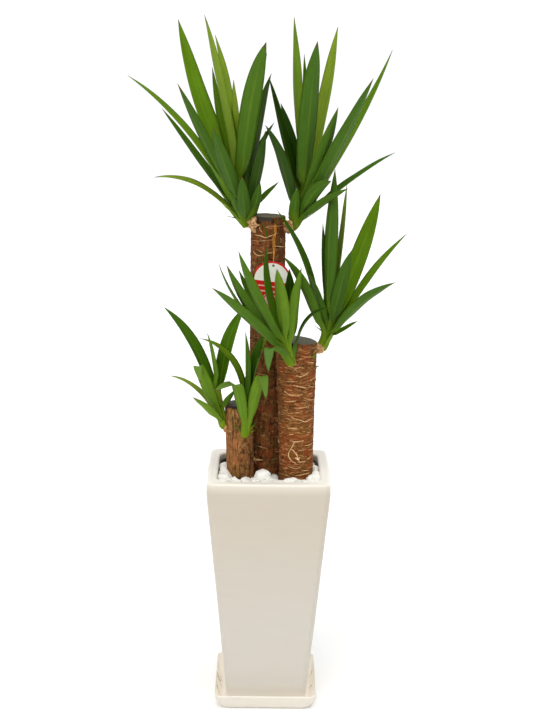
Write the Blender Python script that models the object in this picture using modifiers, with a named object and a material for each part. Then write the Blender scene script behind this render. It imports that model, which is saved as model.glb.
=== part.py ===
"""Potted yucca: three sawn canes with six leafy shoots, in a tall square planter on a saucer.

Metres, +Z up. The origin is on the floor under the planter's middle, and the front is at -Y.
Run it with blender --background --python part.py, or from Blender's text editor.
"""

from math import atan2, cos, pi, radians, sin

import bmesh
import bpy
from mathutils import Matrix, Vector

GAP = 0.0005  # air left between pieces that rest on each other
MERGE = 0.00001  # points nearer than this become one
CUT_SPARE = 0.010  # how far a cutter passes the wall that it cuts

# Saucer: a square plastic tray with flared sides.
SAUCER_WIDTH = 0.257
SAUCER_FOOT_WIDTH = 0.238
SAUCER_HEIGHT = 0.0385
SAUCER_WALL = 0.003
SAUCER_FLOOR = 0.004
SAUCER_ROUND = 0.006  # radius of the edge round its foot
SAUCER_CORNER = 0.025
SAUCER_RIM_CORNER = 0.014
SAUCER_AT = (-0.002, -0.002, 0.0)  # the planter is not set down quite in its middle

# Planter: a tall glazed pot, square in plan, with an upright band below a thick rim.
PLANTER_WIDTH = 0.300
PLANTER_FOOT_WIDTH = 0.199
PLANTER_HEIGHT = 0.600
PLANTER_BAND = 0.034
PLANTER_RIM = 0.025  # width of the rim's top
PLANTER_WALL = 0.015
PLANTER_FLOOR = 0.020
PLANTER_CORNER = 0.013
PLANTER_INNER_CORNER = 0.030
RIM_ROUND = 0.007
FOOT_STEP = 0.005
DRAIN_DIAMETER = 0.030

# Nursery pot: thin black plastic, square with round corners, hidden but for its rim.
NURSERY_WIDTH = 0.243
NURSERY_FOOT_WIDTH = 0.208
NURSERY_HEIGHT = 0.240
NURSERY_WALL = 0.0018
NURSERY_CORNER = 0.042
NURSERY_BAND = 0.012
NURSERY_RIM = 0.0015  # how far the band stands out
NURSERY_BELOW_RIM = 0.013
NURSERY_HOLE_DIAMETER = 0.016
NURSERY_HOLE_SPREAD = 0.092  # from the middle to a hole, towards each corner

RISER_WIDTH = 0.124
RISER_EDGE = 0.003
SOIL_BELOW_RIM = 0.028  # measured from the nursery pot's rim, as is the next one
STONES_BELOW_RIM = 0.004
SOIL_EDGE = 0.004
STONE_SIZE = 0.026
STONE_BUMP = 0.009
STONE_FLAT = 0.35  # share of the bump that the gaps between the stones keep
STONE_RINGS = 8

# Each cane: middle of its foot and of its sawn top, and its radius at both.
CANE_FOOT = 0.492
CANES = {
    "cane_tall": dict(foot=(-0.007, 0.040), top=(-0.008, 0.040, 1.2325), radii=(0.0435, 0.0430)),
    "cane_medium": dict(foot=(0.069, -0.030), top=(0.064, -0.030, 0.9375), radii=(0.0415, 0.0515)),
    "cane_short": dict(foot=(-0.068, -0.018), top=(-0.0765, -0.016, 0.772), radii=(0.0340, 0.0345)),
}
CANE_SIDES = 24
CANE_RINGS = 7
CANE_CHAMFER = 0.004
CANE_CLEARANCE = 0.0012  # air round a cane where it goes through the soil and the stones

STEM_RADIUS = 0.0115
STEM_SETS_OFF = 0.006  # how far below its bend a stem leaves the bark
STEM_START = 0.0015  # how far outside the bark its curve starts
STEM_ROOT = 0.0095  # what is cut away again where the stem meets the bark
STEM_TAPER = 0.0045
STEM_STEPS = 8

BLADE_WIDTH = 0.0195  # full width of a very short blade
BLADE_WIDENING = 0.056  # what it gains with its length
BLADE_FOOT = 0.36  # share of the full width at the foot
BLADE_FULL = 0.42  # share of the length at which a blade is widest
BLADE_TAPER = 2.3  # how late it narrows again: 1 is a straight taper
BLADE_THICKNESS = 0.0016
BLADE_GAP = 0.002  # from the stem to the foot of a separate blade
BLADE_STEPS = 8
FOLDED_STEPS = 16
FOLD_SPAN = 0.12  # share of a blade's length that a fold takes up
ROLL_SPAN = 0.35  # share of its length over which a blade turns its face
YOUNG_REACH = 0.3  # where a young blade starts, as a share of the stem's radius
BLADE_VEE = 0.16  # depth of the trough along a blade, over the blade's width
BLADE_TIP = 0.0016

# Plant tag: a card with a domed top, turned a little, on an elastic loop.
TAG_WIDTH = 0.086
TAG_HEIGHT = 0.122
TAG_THICKNESS = 0.0010
TAG_DOME = 0.026  # height of the domed top
TAG_CORNER = 0.006
TAG_HOLE = (0.0056, -0.0145, 1.1154)
TAG_HOLE_DIAMETER = 0.006
TAG_HOLE_DROP = 0.0105  # from the top of the dome to the hole
TAG_TURN = 6.5
TAG_LEAN = 3.0
ELASTIC_DIAMETER = 0.0013
ELASTIC_SPACING = 0.0032

# The loop leaves the bark, hangs down to the hole, goes through it and back up behind the tag.
ELASTIC_ROUTE = [
    (0.0083, -0.0006, 1.2150), (0.0083, -0.0056, 1.2149), (0.0083, -0.0086, 1.2138),
    (0.0082, -0.0104, 1.2112), (0.0079, -0.0114, 1.2070), (0.0083, -0.0118, 1.2005),
    (0.0087, -0.0120, 1.1945), (0.0070, -0.0122, 1.1890), (0.0047, -0.0125, 1.1845),
    (0.0040, -0.0128, 1.1780), (0.0045, -0.0132, 1.1700), (0.0042, -0.0139, 1.1620),
    (0.0056, -0.0150, 1.1520), (0.0062, -0.0165, 1.1425), (0.0055, -0.0180, 1.1330),
    (0.0053, -0.0188, 1.1255), (0.0054, -0.0184, 1.1193), (0.0056, -0.0170, 1.1165),
    (0.0056, -0.0145, 1.1154), (0.0056, -0.0120, 1.1165), (0.0058, -0.0106, 1.1193),
    (0.0060, -0.0102, 1.1255), (0.0065, -0.0098, 1.1345), (0.0077, -0.0090, 1.1450),
    (0.0088, -0.0082, 1.1560), (0.0086, -0.0077, 1.1680), (0.0081, -0.0076, 1.1790),
    (0.0094, -0.0075, 1.1880), (0.0111, -0.0074, 1.1960), (0.0110, -0.0074, 1.2035),
    (0.0107, -0.0071, 1.2080), (0.0106, -0.0056, 1.2108), (0.0106, 0.0004, 1.2118),
]


def leaf(height, heading, lean, droop, length, roll=0, fold=0, fold_at=0.7, young=False):
    """A blade as a grower would describe it. height is where it leaves the stem, 0 to 1. heading
    is the way its tip points, 0 for +X and 90 for the back. lean is its angle from upright at its
    foot, and droop what it gains by its tip. roll turns its face, and fold is a sharp bend part
    of the way. A young blade is still one piece with its stem."""
    return dict(
        height=height, heading=heading, lean=lean, droop=droop, length=length,
        roll=roll, fold=fold, fold_at=fold_at, young=young,
    )


# Each shoot: the cane that it grows from, the bend and the tip of its stem, and its blades.
SHOOTS = {
    "tall_left": dict(
        cane="cane_tall", bend=(-0.062, 0.036, 1.213), tip=(-0.081, 0.030, 1.312),
        leaves=[
            leaf(0.19, 185, 39, 59, 0.250, roll=-15),
            leaf(0.36, 155, 40, 1, 0.340),
            leaf(0.43, -40, 16, -5, 0.215, roll=-10),
            leaf(0.46, 190, 28, 28, 0.430, roll=-20),
            leaf(0.15, -95, 49, -22, 0.165, roll=5),
            leaf(0.51, 10, 45, -1, 0.105, roll=15),
            leaf(0.56, 250, 44, -5, 0.280),
            leaf(0.56, 40, 7, 37, 0.230, roll=-5),
            leaf(0.61, 215, 32, -4, 0.345, roll=10),
            leaf(0.64, -30, 6, 14, 0.325, roll=-15),
            leaf(0.69, 60, 16, 2, 0.375, roll=-35, young=True),
            leaf(0.74, 130, 36, -15, 0.500, roll=-5),
            leaf(0.83, 110, 20, 21, 0.435, roll=40, young=True),
            leaf(0.88, 150, 21, -15, 0.305, young=True),
            leaf(0.92, 185, 10, 4, 0.415, roll=25, young=True),
            leaf(0.92, -75, 19, 37, 0.420, roll=-15),
            leaf(0.97, 75, -6, -15, 0.255, roll=-40, young=True),
        ],
    ),
    "tall_right": dict(
        cane="cane_tall", bend=(0.067, 0.036, 1.210), tip=(0.077, 0.040, 1.303),
        leaves=[
            leaf(0.22, -40, 50, 17, 0.180, roll=-20),
            leaf(0.28, 10, 48, 15, 0.290, roll=5),
            leaf(0.35, -60, 33, 49, 0.185, roll=-45),
            leaf(0.41, 230, 14, 31, 0.260),
            leaf(0.47, -50, 36, -2, 0.410),
            leaf(0.53, 20, 35, -13, 0.455, roll=-5),
            leaf(0.60, -60, 32, -4, 0.295),
            leaf(0.66, 50, 17, -3, 0.450, roll=-10),
            leaf(0.72, 165, 15, 1, 0.315, roll=-15, young=True),
            leaf(0.78, 125, 17, 12, 0.250, young=True),
            leaf(0.84, -85, 19, 33, 0.440, roll=15),
            leaf(0.91, 95, 6, -5, 0.330, roll=60, young=True),
            leaf(0.97, 175, 5, -3, 0.405, roll=35, young=True),
        ],
    ),
    "medium_front": dict(
        cane="cane_medium", bend=(0.048, -0.096, 0.893), tip=(0.034, -0.108, 0.955),
        leaves=[
            leaf(0.26, -17, -1, 84, 0.175, roll=15),
            leaf(0.30, 168, 44, 12, 0.245, roll=40, young=True),
            leaf(0.24, 245, 53, 47, 0.180, roll=10, fold=65, fold_at=0.67),
            leaf(0.47, 215, 44, 11, 0.280, roll=25),
            leaf(0.55, -40, 0, 16, 0.215, roll=-10),
            leaf(0.57, 190, 40, -18, 0.260, roll=40),
            leaf(0.72, 225, 37, -14, 0.295, roll=5),
            leaf(0.80, 170, 41, -21, 0.215, roll=-25, young=True),
            leaf(0.80, -110, 12, 17, 0.210, roll=5),
            leaf(0.89, 60, 13, -25, 0.175, roll=-20, young=True),
            leaf(0.96, 160, 26, -35, 0.230, roll=-10, young=True),
        ],
    ),
    "medium_right": dict(
        cane="cane_medium", bend=(0.136, -0.026, 0.922), tip=(0.144, -0.030, 0.991),
        leaves=[
            leaf(0.16, -70, 54, 8, 0.200, roll=5, young=True),
            leaf(0.33, 20, 31, 17, 0.335),
            leaf(0.41, -50, 40, 29, 0.290, roll=-15),
            leaf(0.49, 215, 16, 33, 0.250, roll=15),
            leaf(0.58, 170, 9, 29, 0.330, roll=-20),
            leaf(0.65, 235, 18, 23, 0.180, roll=-20, young=True),
            leaf(0.66, -50, 14, 10, 0.225, roll=-40),
            leaf(0.73, 50, 34, -6, 0.375, roll=35),
            leaf(0.88, -100, 6, -40, 0.385, roll=-35),
            leaf(0.89, 130, 11, -12, 0.245, roll=25, young=True),
            leaf(0.96, 20, 9, -7, 0.330, roll=-5, young=True),
        ],
    ),
    "short_left": dict(
        cane="cane_short", bend=(-0.114, -0.020, 0.716), tip=(-0.128, -0.025, 0.801),
        leaves=[
            leaf(0.19, 230, 45, 12, 0.145, roll=15, young=True),
            leaf(0.35, 170, 25, 59, 0.175),
            leaf(0.48, 228, 26, 0, 0.210, roll=45, fold=158, fold_at=0.82),
            leaf(0.70, -35, 12, 60, 0.066, roll=40, young=True),
            leaf(0.73, 145, 19, 43, 0.295, roll=-20),
            leaf(0.84, 45, 1, 48, 0.250, roll=20, young=True),
            leaf(0.97, 185, 5, 10, 0.155, roll=20, young=True),
        ],
    ),
    "short_front": dict(
        cane="cane_short", bend=(-0.055, -0.062, 0.708), tip=(-0.056, -0.071, 0.772),
        leaves=[
            leaf(0.20, -54, 16, 33, 0.270, roll=20, fold=90, fold_at=0.72),
            leaf(0.33, 249, 15, 34, 0.245, roll=-10, fold=50, fold_at=0.58),
            leaf(0.56, 12, 3, 29, 0.265, young=True),
            leaf(0.75, 163, -6, 91, 0.250, roll=-5),
            leaf(0.94, 45, 4, 33, 0.200, roll=-5, young=True),
            leaf(0.96, 180, -3, 9, 0.195, roll=25, young=True),
        ],
    ),
}

# Where the stacked pieces stand.
PLANTER_BASE = SAUCER_FLOOR + GAP
PLANTER_TOP = PLANTER_BASE + PLANTER_HEIGHT
PLANTER_INSIDE = PLANTER_BASE + PLANTER_FLOOR
NURSERY_TOP = PLANTER_TOP - NURSERY_BELOW_RIM
NURSERY_BASE = NURSERY_TOP - NURSERY_HEIGHT
SOIL_TOP = NURSERY_TOP - SOIL_BELOW_RIM
STONES_TOP = NURSERY_TOP - STONES_BELOW_RIM


# Scene, materials and small helpers


def clear_scene():
    for obj in list(bpy.data.objects):
        bpy.data.objects.remove(obj)


def new_collection(name):
    collection = bpy.data.collections.new(name)
    bpy.context.scene.collection.children.link(collection)
    return collection


def material(name, colour, roughness, metallic=0.0):
    """A Principled material. The colour is linear RGB."""
    made = bpy.data.materials.get(name)
    if made is None:
        made = bpy.data.materials.new(name)
        made.use_nodes = True
        shader = made.node_tree.nodes["Principled BSDF"]
        shader.inputs["Base Color"].default_value = (*colour, 1.0)
        shader.inputs["Roughness"].default_value = roughness
        shader.inputs["Metallic"].default_value = metallic
    return made


def object_from_bmesh(name, mesh_builder, collection, finish=None):
    mesh = bpy.data.meshes.new(name)
    mesh_builder.to_mesh(mesh)
    mesh_builder.free()
    obj = bpy.data.objects.new(name, mesh)
    collection.objects.link(obj)
    if finish:
        mesh.materials.append(finish)
    return obj


def make_cutter(obj):
    obj.hide_render = True
    obj.display_type = "WIRE"
    return obj


def cut(obj, cutter, operation="DIFFERENCE"):
    boolean = obj.modifiers.new(f"{operation.lower()} {cutter.name}", "BOOLEAN")
    boolean.operation = operation
    boolean.solver = "EXACT"
    boolean.object = make_cutter(cutter)


def smooth(obj, angle=35):
    obj.data.shade_smooth()
    obj.data.set_sharp_from_angle(angle=radians(angle))


def mix(a, b, share):
    return a + (b - a) * share


def smoothstep(x):
    x = min(max(x, 0.0), 1.0)
    return x * x * (3 - 2 * x)


def quarter(centre_r, centre_z, radius, start, steps=3):
    """(r, z) points along a quarter circle that turns left from the start angle."""
    angles = [radians(start + 90 * i / steps) for i in range(steps + 1)]
    return [(centre_r + radius * cos(a), centre_z + radius * sin(a)) for a in angles]


def square_ring(half, corner, z, steps=4):
    """Points round a square with rounded corners, seen from above, anticlockwise."""
    points = []
    for quadrant in range(4):
        turn = quadrant * pi / 2
        middle = Matrix.Rotation(turn, 3, "Z") @ Vector((half - corner, half - corner, 0))
        for i in range(steps + 1):
            a = turn + pi / 2 * i / steps
            points.append(middle + Vector((corner * cos(a), corner * sin(a), z)))
    return points


def loft(name, rings, collection, finish):
    """A closed solid through rings of equal length, with a flat face on the first and the last."""
    builder = bmesh.new()
    loops = [[builder.verts.new(p) for p in ring] for ring in rings]
    for below, above in zip(loops, loops[1:]):
        for i in range(len(below)):
            j = (i + 1) % len(below)
            builder.faces.new((below[i], below[j], above[j], above[i]))
    builder.faces.new(loops[0][::-1])
    builder.faces.new(loops[-1])
    bmesh.ops.recalc_face_normals(builder, faces=builder.faces)
    obj = object_from_bmesh(name, builder, collection, finish)
    smooth(obj)
    return obj


def cylinder(name, radius, low, high, collection, sides=24):
    builder = bmesh.new()
    place = Matrix.Translation((Vector(low) + Vector(high)) / 2)
    depth = high[2] - low[2]
    bmesh.ops.create_cone(
        builder, cap_ends=True, segments=sides, radius1=radius, radius2=radius, depth=depth, matrix=place
    )
    return object_from_bmesh(name, builder, collection)


# Holders


def make_saucer(parts):
    """Outside from the foot up, round the rim, then down the inside to the floor."""
    foot = SAUCER_FOOT_WIDTH / 2
    rim = SAUCER_WIDTH / 2
    lip = SAUCER_HEIGHT - SAUCER_WALL / 3
    outline = quarter(foot - SAUCER_ROUND, SAUCER_ROUND, SAUCER_ROUND, -90)
    outline += [(rim, lip), (rim - SAUCER_WALL / 2, SAUCER_HEIGHT), (rim - SAUCER_WALL, lip)]
    outline += [(foot - SAUCER_WALL, SAUCER_ROUND + SAUCER_WALL), (foot - 2 * SAUCER_WALL, SAUCER_FLOOR)]
    rings = []
    for half, z in outline:
        corner = mix(SAUCER_CORNER, SAUCER_RIM_CORNER, z / SAUCER_HEIGHT)
        rings.append([point + Vector(SAUCER_AT) for point in square_ring(half, corner, z)])
    plastic = material("saucer plastic", (0.80, 0.76, 0.68), 0.35)
    return loft("saucer", rings, parts, plastic)


def planter_half(z):
    """Half the planter's outer width at a height: a straight taper, then an upright band."""
    low = PLANTER_BASE + FOOT_STEP
    high = PLANTER_TOP - PLANTER_BAND
    share = min(max((z - low) / (high - low), 0.0), 1.0)
    return mix(PLANTER_FOOT_WIDTH, PLANTER_WIDTH, share) / 2


def make_planter(parts, cutters):
    foot = PLANTER_FOOT_WIDTH / 2
    half = PLANTER_WIDTH / 2
    opening = half - PLANTER_RIM
    band = PLANTER_TOP - PLANTER_BAND
    under = band - PLANTER_RIM
    outer = [(foot - FOOT_STEP, PLANTER_BASE), (foot - FOOT_STEP, PLANTER_BASE + FOOT_STEP / 2)]
    outer += [(foot, PLANTER_BASE + FOOT_STEP), (half, band)]
    outer += quarter(half - RIM_ROUND, PLANTER_TOP - RIM_ROUND, RIM_ROUND, 0)
    inner = quarter(opening + RIM_ROUND, PLANTER_TOP - RIM_ROUND, RIM_ROUND, 90)
    inner += [(opening, band), (planter_half(under) - PLANTER_WALL, under)]
    inner += [(foot - PLANTER_WALL, PLANTER_INSIDE)]
    rings = [square_ring(r, PLANTER_CORNER, z) for r, z in outer]
    rings += [square_ring(r, PLANTER_INNER_CORNER, z) for r, z in inner]
    glaze = material("planter glaze", (0.78, 0.73, 0.65), 0.3)
    planter = loft("planter", rings, parts, glaze)
    low = (0, 0, PLANTER_BASE - CUT_SPARE)
    high = (0, 0, PLANTER_INSIDE + CUT_SPARE)
    cut(planter, cylinder("drain cutter", DRAIN_DIAMETER / 2, low, high, cutters))
    return planter


def nursery_half(z):
    share = (z - NURSERY_BASE) / NURSERY_HEIGHT
    return mix(NURSERY_FOOT_WIDTH / 2, NURSERY_WIDTH / 2 - NURSERY_RIM, share)


def bed_half(z):
    """Half the width of what fills the nursery pot, at a height."""
    return nursery_half(z) - NURSERY_WALL - GAP


def make_nursery_pot(parts, cutters):
    rim = NURSERY_WIDTH / 2
    band = NURSERY_TOP - NURSERY_BAND
    inner_base = NURSERY_BASE + NURSERY_WALL
    outline = [(nursery_half(NURSERY_BASE), NURSERY_BASE), (nursery_half(band), band), (rim, band)]
    outline += [(rim, NURSERY_TOP), (nursery_half(NURSERY_TOP) - NURSERY_WALL, NURSERY_TOP)]
    outline += [(nursery_half(inner_base) - NURSERY_WALL, inner_base)]
    rings = [square_ring(half, NURSERY_CORNER, z) for half, z in outline]
    plastic = material("nursery plastic", (0.012, 0.012, 0.012), 0.55)
    pot = loft("nursery_pot", rings, parts, plastic)
    for i in range(4):
        a = pi / 4 + i * pi / 2
        x = NURSERY_HOLE_SPREAD * cos(a)
        y = NURSERY_HOLE_SPREAD * sin(a)
        low = (x, y, NURSERY_BASE - CUT_SPARE)
        high = (x, y, inner_base + CUT_SPARE)
        cut(pot, cylinder(f"pot hole cutter {i}", NURSERY_HOLE_DIAMETER / 2, low, high, cutters, 12))
    return pot


def make_riser(parts):
    """A block of packing foam that lifts the nursery pot to the planter's rim."""
    half = RISER_WIDTH / 2
    low, high = PLANTER_INSIDE + GAP, NURSERY_BASE - GAP
    outline = [(half - RISER_EDGE, low), (half, low + RISER_EDGE)]
    outline += [(half, high - RISER_EDGE), (half - RISER_EDGE, high)]
    rings = [square_ring(r, 2 * RISER_EDGE, z, steps=2) for r, z in outline]
    return loft("foam_riser", rings, parts, material("foam", (0.83, 0.83, 0.82), 0.8))


# Canes, and the bed that they stand in


def cane_at(name, z):
    """Middle of a cane and its radius at a height. It widens mostly near its top."""
    cane = CANES[name]
    top = Vector(cane["top"])
    share = (z - CANE_FOOT) / (top.z - CANE_FOOT)
    middle = Vector((*cane["foot"], CANE_FOOT)).lerp(top, share)
    return middle, mix(*cane["radii"], max(share, 0.0) ** 2)


def turned_cane(name, collection, extra=0.0, foot=CANE_FOOT, chamfer=CANE_CHAMFER):
    """A turned profile, from the middle of the sawn top down the outside to the foot."""
    top = CANES[name]["top"][2]
    levels = [mix(top - chamfer, foot, i / CANE_RINGS) for i in range(CANE_RINGS + 1)]
    radius_at = [cane_at(name, z)[1] + extra for z in levels]
    profile = [(0.0, top), (radius_at[0] - chamfer, top)]
    profile += list(zip(radius_at, levels))
    profile.append((0.0, foot))
    builder = bmesh.new()
    verts = [builder.verts.new((r, 0.0, z - foot)) for r, z in profile]
    for a, b in zip(verts, verts[1:]):
        builder.edges.new((a, b))
    obj = object_from_bmesh(name, builder, collection)
    screw = obj.modifiers.new("turn", "SCREW")
    screw.steps = screw.render_steps = CANE_SIDES
    screw.use_merge_vertices = True
    screw.merge_threshold = MERGE
    low = cane_at(name, foot)[0]
    high = cane_at(name, top)[0]
    obj.location = low
    obj.rotation_euler = Vector((0, 0, 1)).rotation_difference(high - low).to_euler()
    return obj


def make_canes(parts):
    bark = material("bark", (0.20, 0.085, 0.035), 0.85)
    for name in CANES:
        cane = turned_cane(name, parts)
        cane.data.materials.append(bark)


def cut_cane_holes(bed, cutters):
    for name in CANES:
        hole = turned_cane(name, cutters, extra=CANE_CLEARANCE, foot=CANE_FOOT - GAP)
        hole.name = f"{bed.name} hole for {name}"
        cut(bed, hole)


def make_soil(parts, cutters):
    low = NURSERY_BASE + NURSERY_WALL + GAP
    edge = SOIL_TOP - SOIL_EDGE
    outline = [(bed_half(low), low), (bed_half(edge), edge), (bed_half(edge) - SOIL_EDGE, SOIL_TOP)]
    rings = [square_ring(half, NURSERY_CORNER, z) for half, z in outline]
    soil = loft("potting_soil", rings, parts, material("soil", (0.035, 0.022, 0.014), 0.95))
    cut_cane_holes(soil, cutters)
    return soil


def stone_height(x, y):
    """Rounded humps, one for each stone, in rows that are shifted by half a stone."""
    row = round(y / STONE_SIZE)
    shift = 0.5 * (row % 2)
    across = abs(sin(pi * (x / STONE_SIZE + shift)))
    along = abs(cos(pi * y / STONE_SIZE))
    return STONE_BUMP * mix(STONE_FLAT, 1.0, across * along)


def make_stones(parts, cutters):
    """White top dressing: a slab whose top has a hump for each stone."""
    low = SOIL_TOP + GAP
    base = STONES_TOP - STONE_BUMP
    rings = [square_ring(bed_half(z), NURSERY_CORNER, z) for z in (low, base)]
    for i in range(1, STONE_RINGS + 1):
        share = 1 - i / (STONE_RINGS + 1)
        inside = square_ring(bed_half(base) * share, NURSERY_CORNER * share, 0.0)
        rings.append([Vector((p.x, p.y, base + stone_height(p.x, p.y))) for p in inside])
    stones = loft("white_stones", rings, parts, material("white stone", (0.80, 0.79, 0.76), 0.6))
    cut_cane_holes(stones, cutters)
    return stones


# Shoots


def stem_start(shoot, depth=0.0):
    """Where a stem leaves the bark, just below its bend, or a point that deep behind it."""
    bend = Vector(shoot["bend"])
    middle, radius = cane_at(shoot["cane"], bend.z - STEM_SETS_OFF)
    outwards = bend - middle
    outwards.z = 0
    return middle + outwards.normalized() * (radius + STEM_START - depth)


def stem_point(shoot, share):
    """A stem sets off sideways and curves upwards: a quadratic curve through three points."""
    start, bend, tip = stem_start(shoot), Vector(shoot["bend"]), Vector(shoot["tip"])
    return start * (1 - share) ** 2 + bend * 2 * share * (1 - share) + tip * share ** 2


def stem_radius(share):
    return STEM_RADIUS - STEM_TAPER * share


def tube(name, points, radii, collection, resolution=2):
    """A mesh tube along the points. The curve is converted because a curve takes no Boolean."""
    curve = bpy.data.curves.new(name, "CURVE")
    curve.dimensions = "3D"
    curve.bevel_depth = 1.0
    curve.bevel_resolution = resolution
    curve.use_fill_caps = True
    spline = curve.splines.new("POLY")
    spline.points.add(len(points) - 1)
    for point, place, radius in zip(spline.points, points, radii):
        point.co = (*place, 1.0)
        point.radius = radius
    guide = bpy.data.objects.new(name + " guide", curve)
    collection.objects.link(guide)
    graph = bpy.context.evaluated_depsgraph_get()
    mesh = bpy.data.meshes.new_from_object(guide.evaluated_get(graph))
    bpy.data.objects.remove(guide)
    builder = bmesh.new()
    builder.from_mesh(mesh)
    bmesh.ops.remove_doubles(builder, verts=builder.verts, dist=MERGE)
    bmesh.ops.recalc_face_normals(builder, faces=builder.faces)
    obj = object_from_bmesh(name, builder, collection)
    smooth(obj)
    return obj


def blade_width(length, share):
    """Narrow at the foot, widest at two fifths of the length, then a long taper to a point."""
    full = BLADE_WIDTH + BLADE_WIDENING * length
    if share < BLADE_FULL:
        return full * mix(BLADE_FOOT, 1.0, smoothstep(share / BLADE_FULL))
    beyond = (share - BLADE_FULL) / (1 - BLADE_FULL)
    return max(full * (1 - beyond ** BLADE_TAPER), BLADE_TIP)


def blade_frames(blade, foot, steps):
    """Point, side and face direction at each step along a blade's middle."""
    heading = radians(blade["heading"])
    outwards = Vector((cos(heading), sin(heading), 0))
    side = Vector((-sin(heading), cos(heading), 0))
    frames = []
    point = foot.copy()
    fine = 3
    for i in range(steps * fine + 1):
        share = i / (steps * fine)
        if i:
            middle = (i - 0.5) / (steps * fine)
            point = point + blade_direction(blade, outwards, middle) * (blade["length"] / (steps * fine))
        if i % fine == 0:
            along = blade_direction(blade, outwards, share)
            roll = Matrix.Rotation(radians(blade["roll"]) * smoothstep(share / ROLL_SPAN), 3, along)
            frames.append((share, point.copy(), roll @ side, roll @ along.cross(side)))
    return frames


def blade_direction(blade, outwards, share):
    folded = blade["fold"] * smoothstep((share - blade["fold_at"]) / FOLD_SPAN + 0.5)
    lean = radians(blade["lean"] + blade["droop"] * share ** 1.5 + folded)
    return outwards * sin(lean) + Vector((0, 0, cos(lean)))


def blade_foot(shoot, blade):
    heading = radians(blade["heading"])
    radius = stem_radius(blade["height"])
    reach = radius * YOUNG_REACH if blade["young"] else radius + BLADE_GAP
    return stem_point(shoot, blade["height"]) + Vector((cos(heading), sin(heading), 0)) * reach


def make_blade(name, shoot, blade, collection):
    """A strip with a trough along its middle, given its thickness by Solidify."""
    steps = FOLDED_STEPS if blade["fold"] else BLADE_STEPS
    frames = blade_frames(blade, blade_foot(shoot, blade), steps)
    builder = bmesh.new()
    bmesh.ops.create_grid(builder, x_segments=steps, y_segments=2, size=0.5)
    for vert in builder.verts:
        share, point, side, face = frames[round((vert.co.x + 0.5) * steps)]
        across = vert.co.y * 2
        width = blade_width(blade["length"], share)
        trough = BLADE_VEE * width * (abs(across) - 0.5)
        vert.co = point + side * (across * width / 2) + face * trough
    obj = object_from_bmesh(name, builder, collection, material("leaf", (0.045, 0.13, 0.02), 0.45))
    thickness = obj.modifiers.new("thickness", "SOLIDIFY")
    thickness.thickness = BLADE_THICKNESS
    thickness.offset = 0.0
    obj.data.shade_smooth()
    return obj


def make_shoot(name, shoot, parts, cutters):
    """A stem cut to the bark and joined with its young blades. A grown blade is its own piece."""
    shares = [i / STEM_STEPS for i in range(STEM_STEPS + 1)]
    points = [stem_start(shoot, STEM_ROOT)] + [stem_point(shoot, s) for s in shares]
    radii = [STEM_RADIUS] + [stem_radius(s) for s in shares]
    stem = tube(name + "_shoot", points, radii, parts)
    stem.data.materials.append(material("stem", (0.11, 0.19, 0.03), 0.5))
    bark = turned_cane(shoot["cane"], cutters, extra=GAP)
    bark.name = f"{name} bark cutter"
    cut(stem, bark)
    grown = 0
    for number, blade in enumerate(shoot["leaves"]):
        if blade["young"]:
            cut(stem, make_blade(f"{name} young blade {number}", shoot, blade, cutters), "UNION")
        else:
            grown += 1
            make_blade(f"{name}_leaf_{grown:02d}", shoot, blade, parts)


# Plant tag and its elastic


def add_outline(curve, points):
    spline = curve.splines.new("POLY")
    spline.points.add(len(points) - 1)
    for point, (x, y) in zip(spline.points, points):
        point.co = (x, y, 0.0, 1.0)
    spline.use_cyclic_u = True


def tag_outline():
    """Round the card from its lower right corner, with the hole at the origin."""
    half = TAG_WIDTH / 2
    low = TAG_HOLE_DROP - TAG_HEIGHT
    radius = (half ** 2 + TAG_DOME ** 2) / (2 * TAG_DOME)
    spread = atan2(half, radius - TAG_DOME)
    points = []
    for i in range(13):
        a = spread * (1 - i / 6)
        points.append((radius * sin(a), TAG_HOLE_DROP - radius + radius * cos(a)))
    for side, start in ((-1, 180), (1, 270)):
        points += quarter(side * (half - TAG_CORNER), low + TAG_CORNER, TAG_CORNER, start)
    return points


def make_tag(parts):
    curve = bpy.data.curves.new("plant_tag", "CURVE")
    curve.dimensions = "2D"
    curve.fill_mode = "BOTH"
    curve.extrude = TAG_THICKNESS / 2
    add_outline(curve, tag_outline())
    hole = [2 * pi * i / 12 for i in range(12)]
    add_outline(curve, [(TAG_HOLE_DIAMETER / 2 * cos(a), TAG_HOLE_DIAMETER / 2 * sin(a)) for a in hole])
    tag = bpy.data.objects.new("plant_tag", curve)
    parts.objects.link(tag)
    upright = Matrix.Rotation(radians(90 + TAG_LEAN), 4, "X")
    tag.matrix_world = Matrix.Translation(TAG_HOLE) @ upright @ Matrix.Rotation(radians(-TAG_TURN), 4, "Z")
    curve.materials.append(material("tag card", (0.75, 0.72, 0.68), 0.4))
    return tag


def smooth_route(points, spacing):
    """Evenly spaced points on a smooth curve through the route's own points."""
    ends = [points[0] * 2 - points[1], *points, points[-1] * 2 - points[-2]]
    fine = []
    for a, b, c, d in zip(ends, ends[1:], ends[2:], ends[3:]):
        for i in range(12):
            t = i / 12
            fine.append(
                0.5 * (2 * b + (c - a) * t + (2 * a - 5 * b + 4 * c - d) * t ** 2
                       + (3 * b - a - 3 * c + d) * t ** 3)
            )
    fine.append(points[-1])
    lengths = [0.0]
    for a, b in zip(fine, fine[1:]):
        lengths.append(lengths[-1] + (b - a).length)
    count = round(lengths[-1] / spacing)
    even = []
    for i in range(count + 1):
        goal = lengths[-1] * i / count
        j = max(k for k, done in enumerate(lengths[:-1]) if done <= goal + 1e-12)
        even.append(fine[j].lerp(fine[j + 1], (goal - lengths[j]) / (lengths[j + 1] - lengths[j])))
    return even


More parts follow.
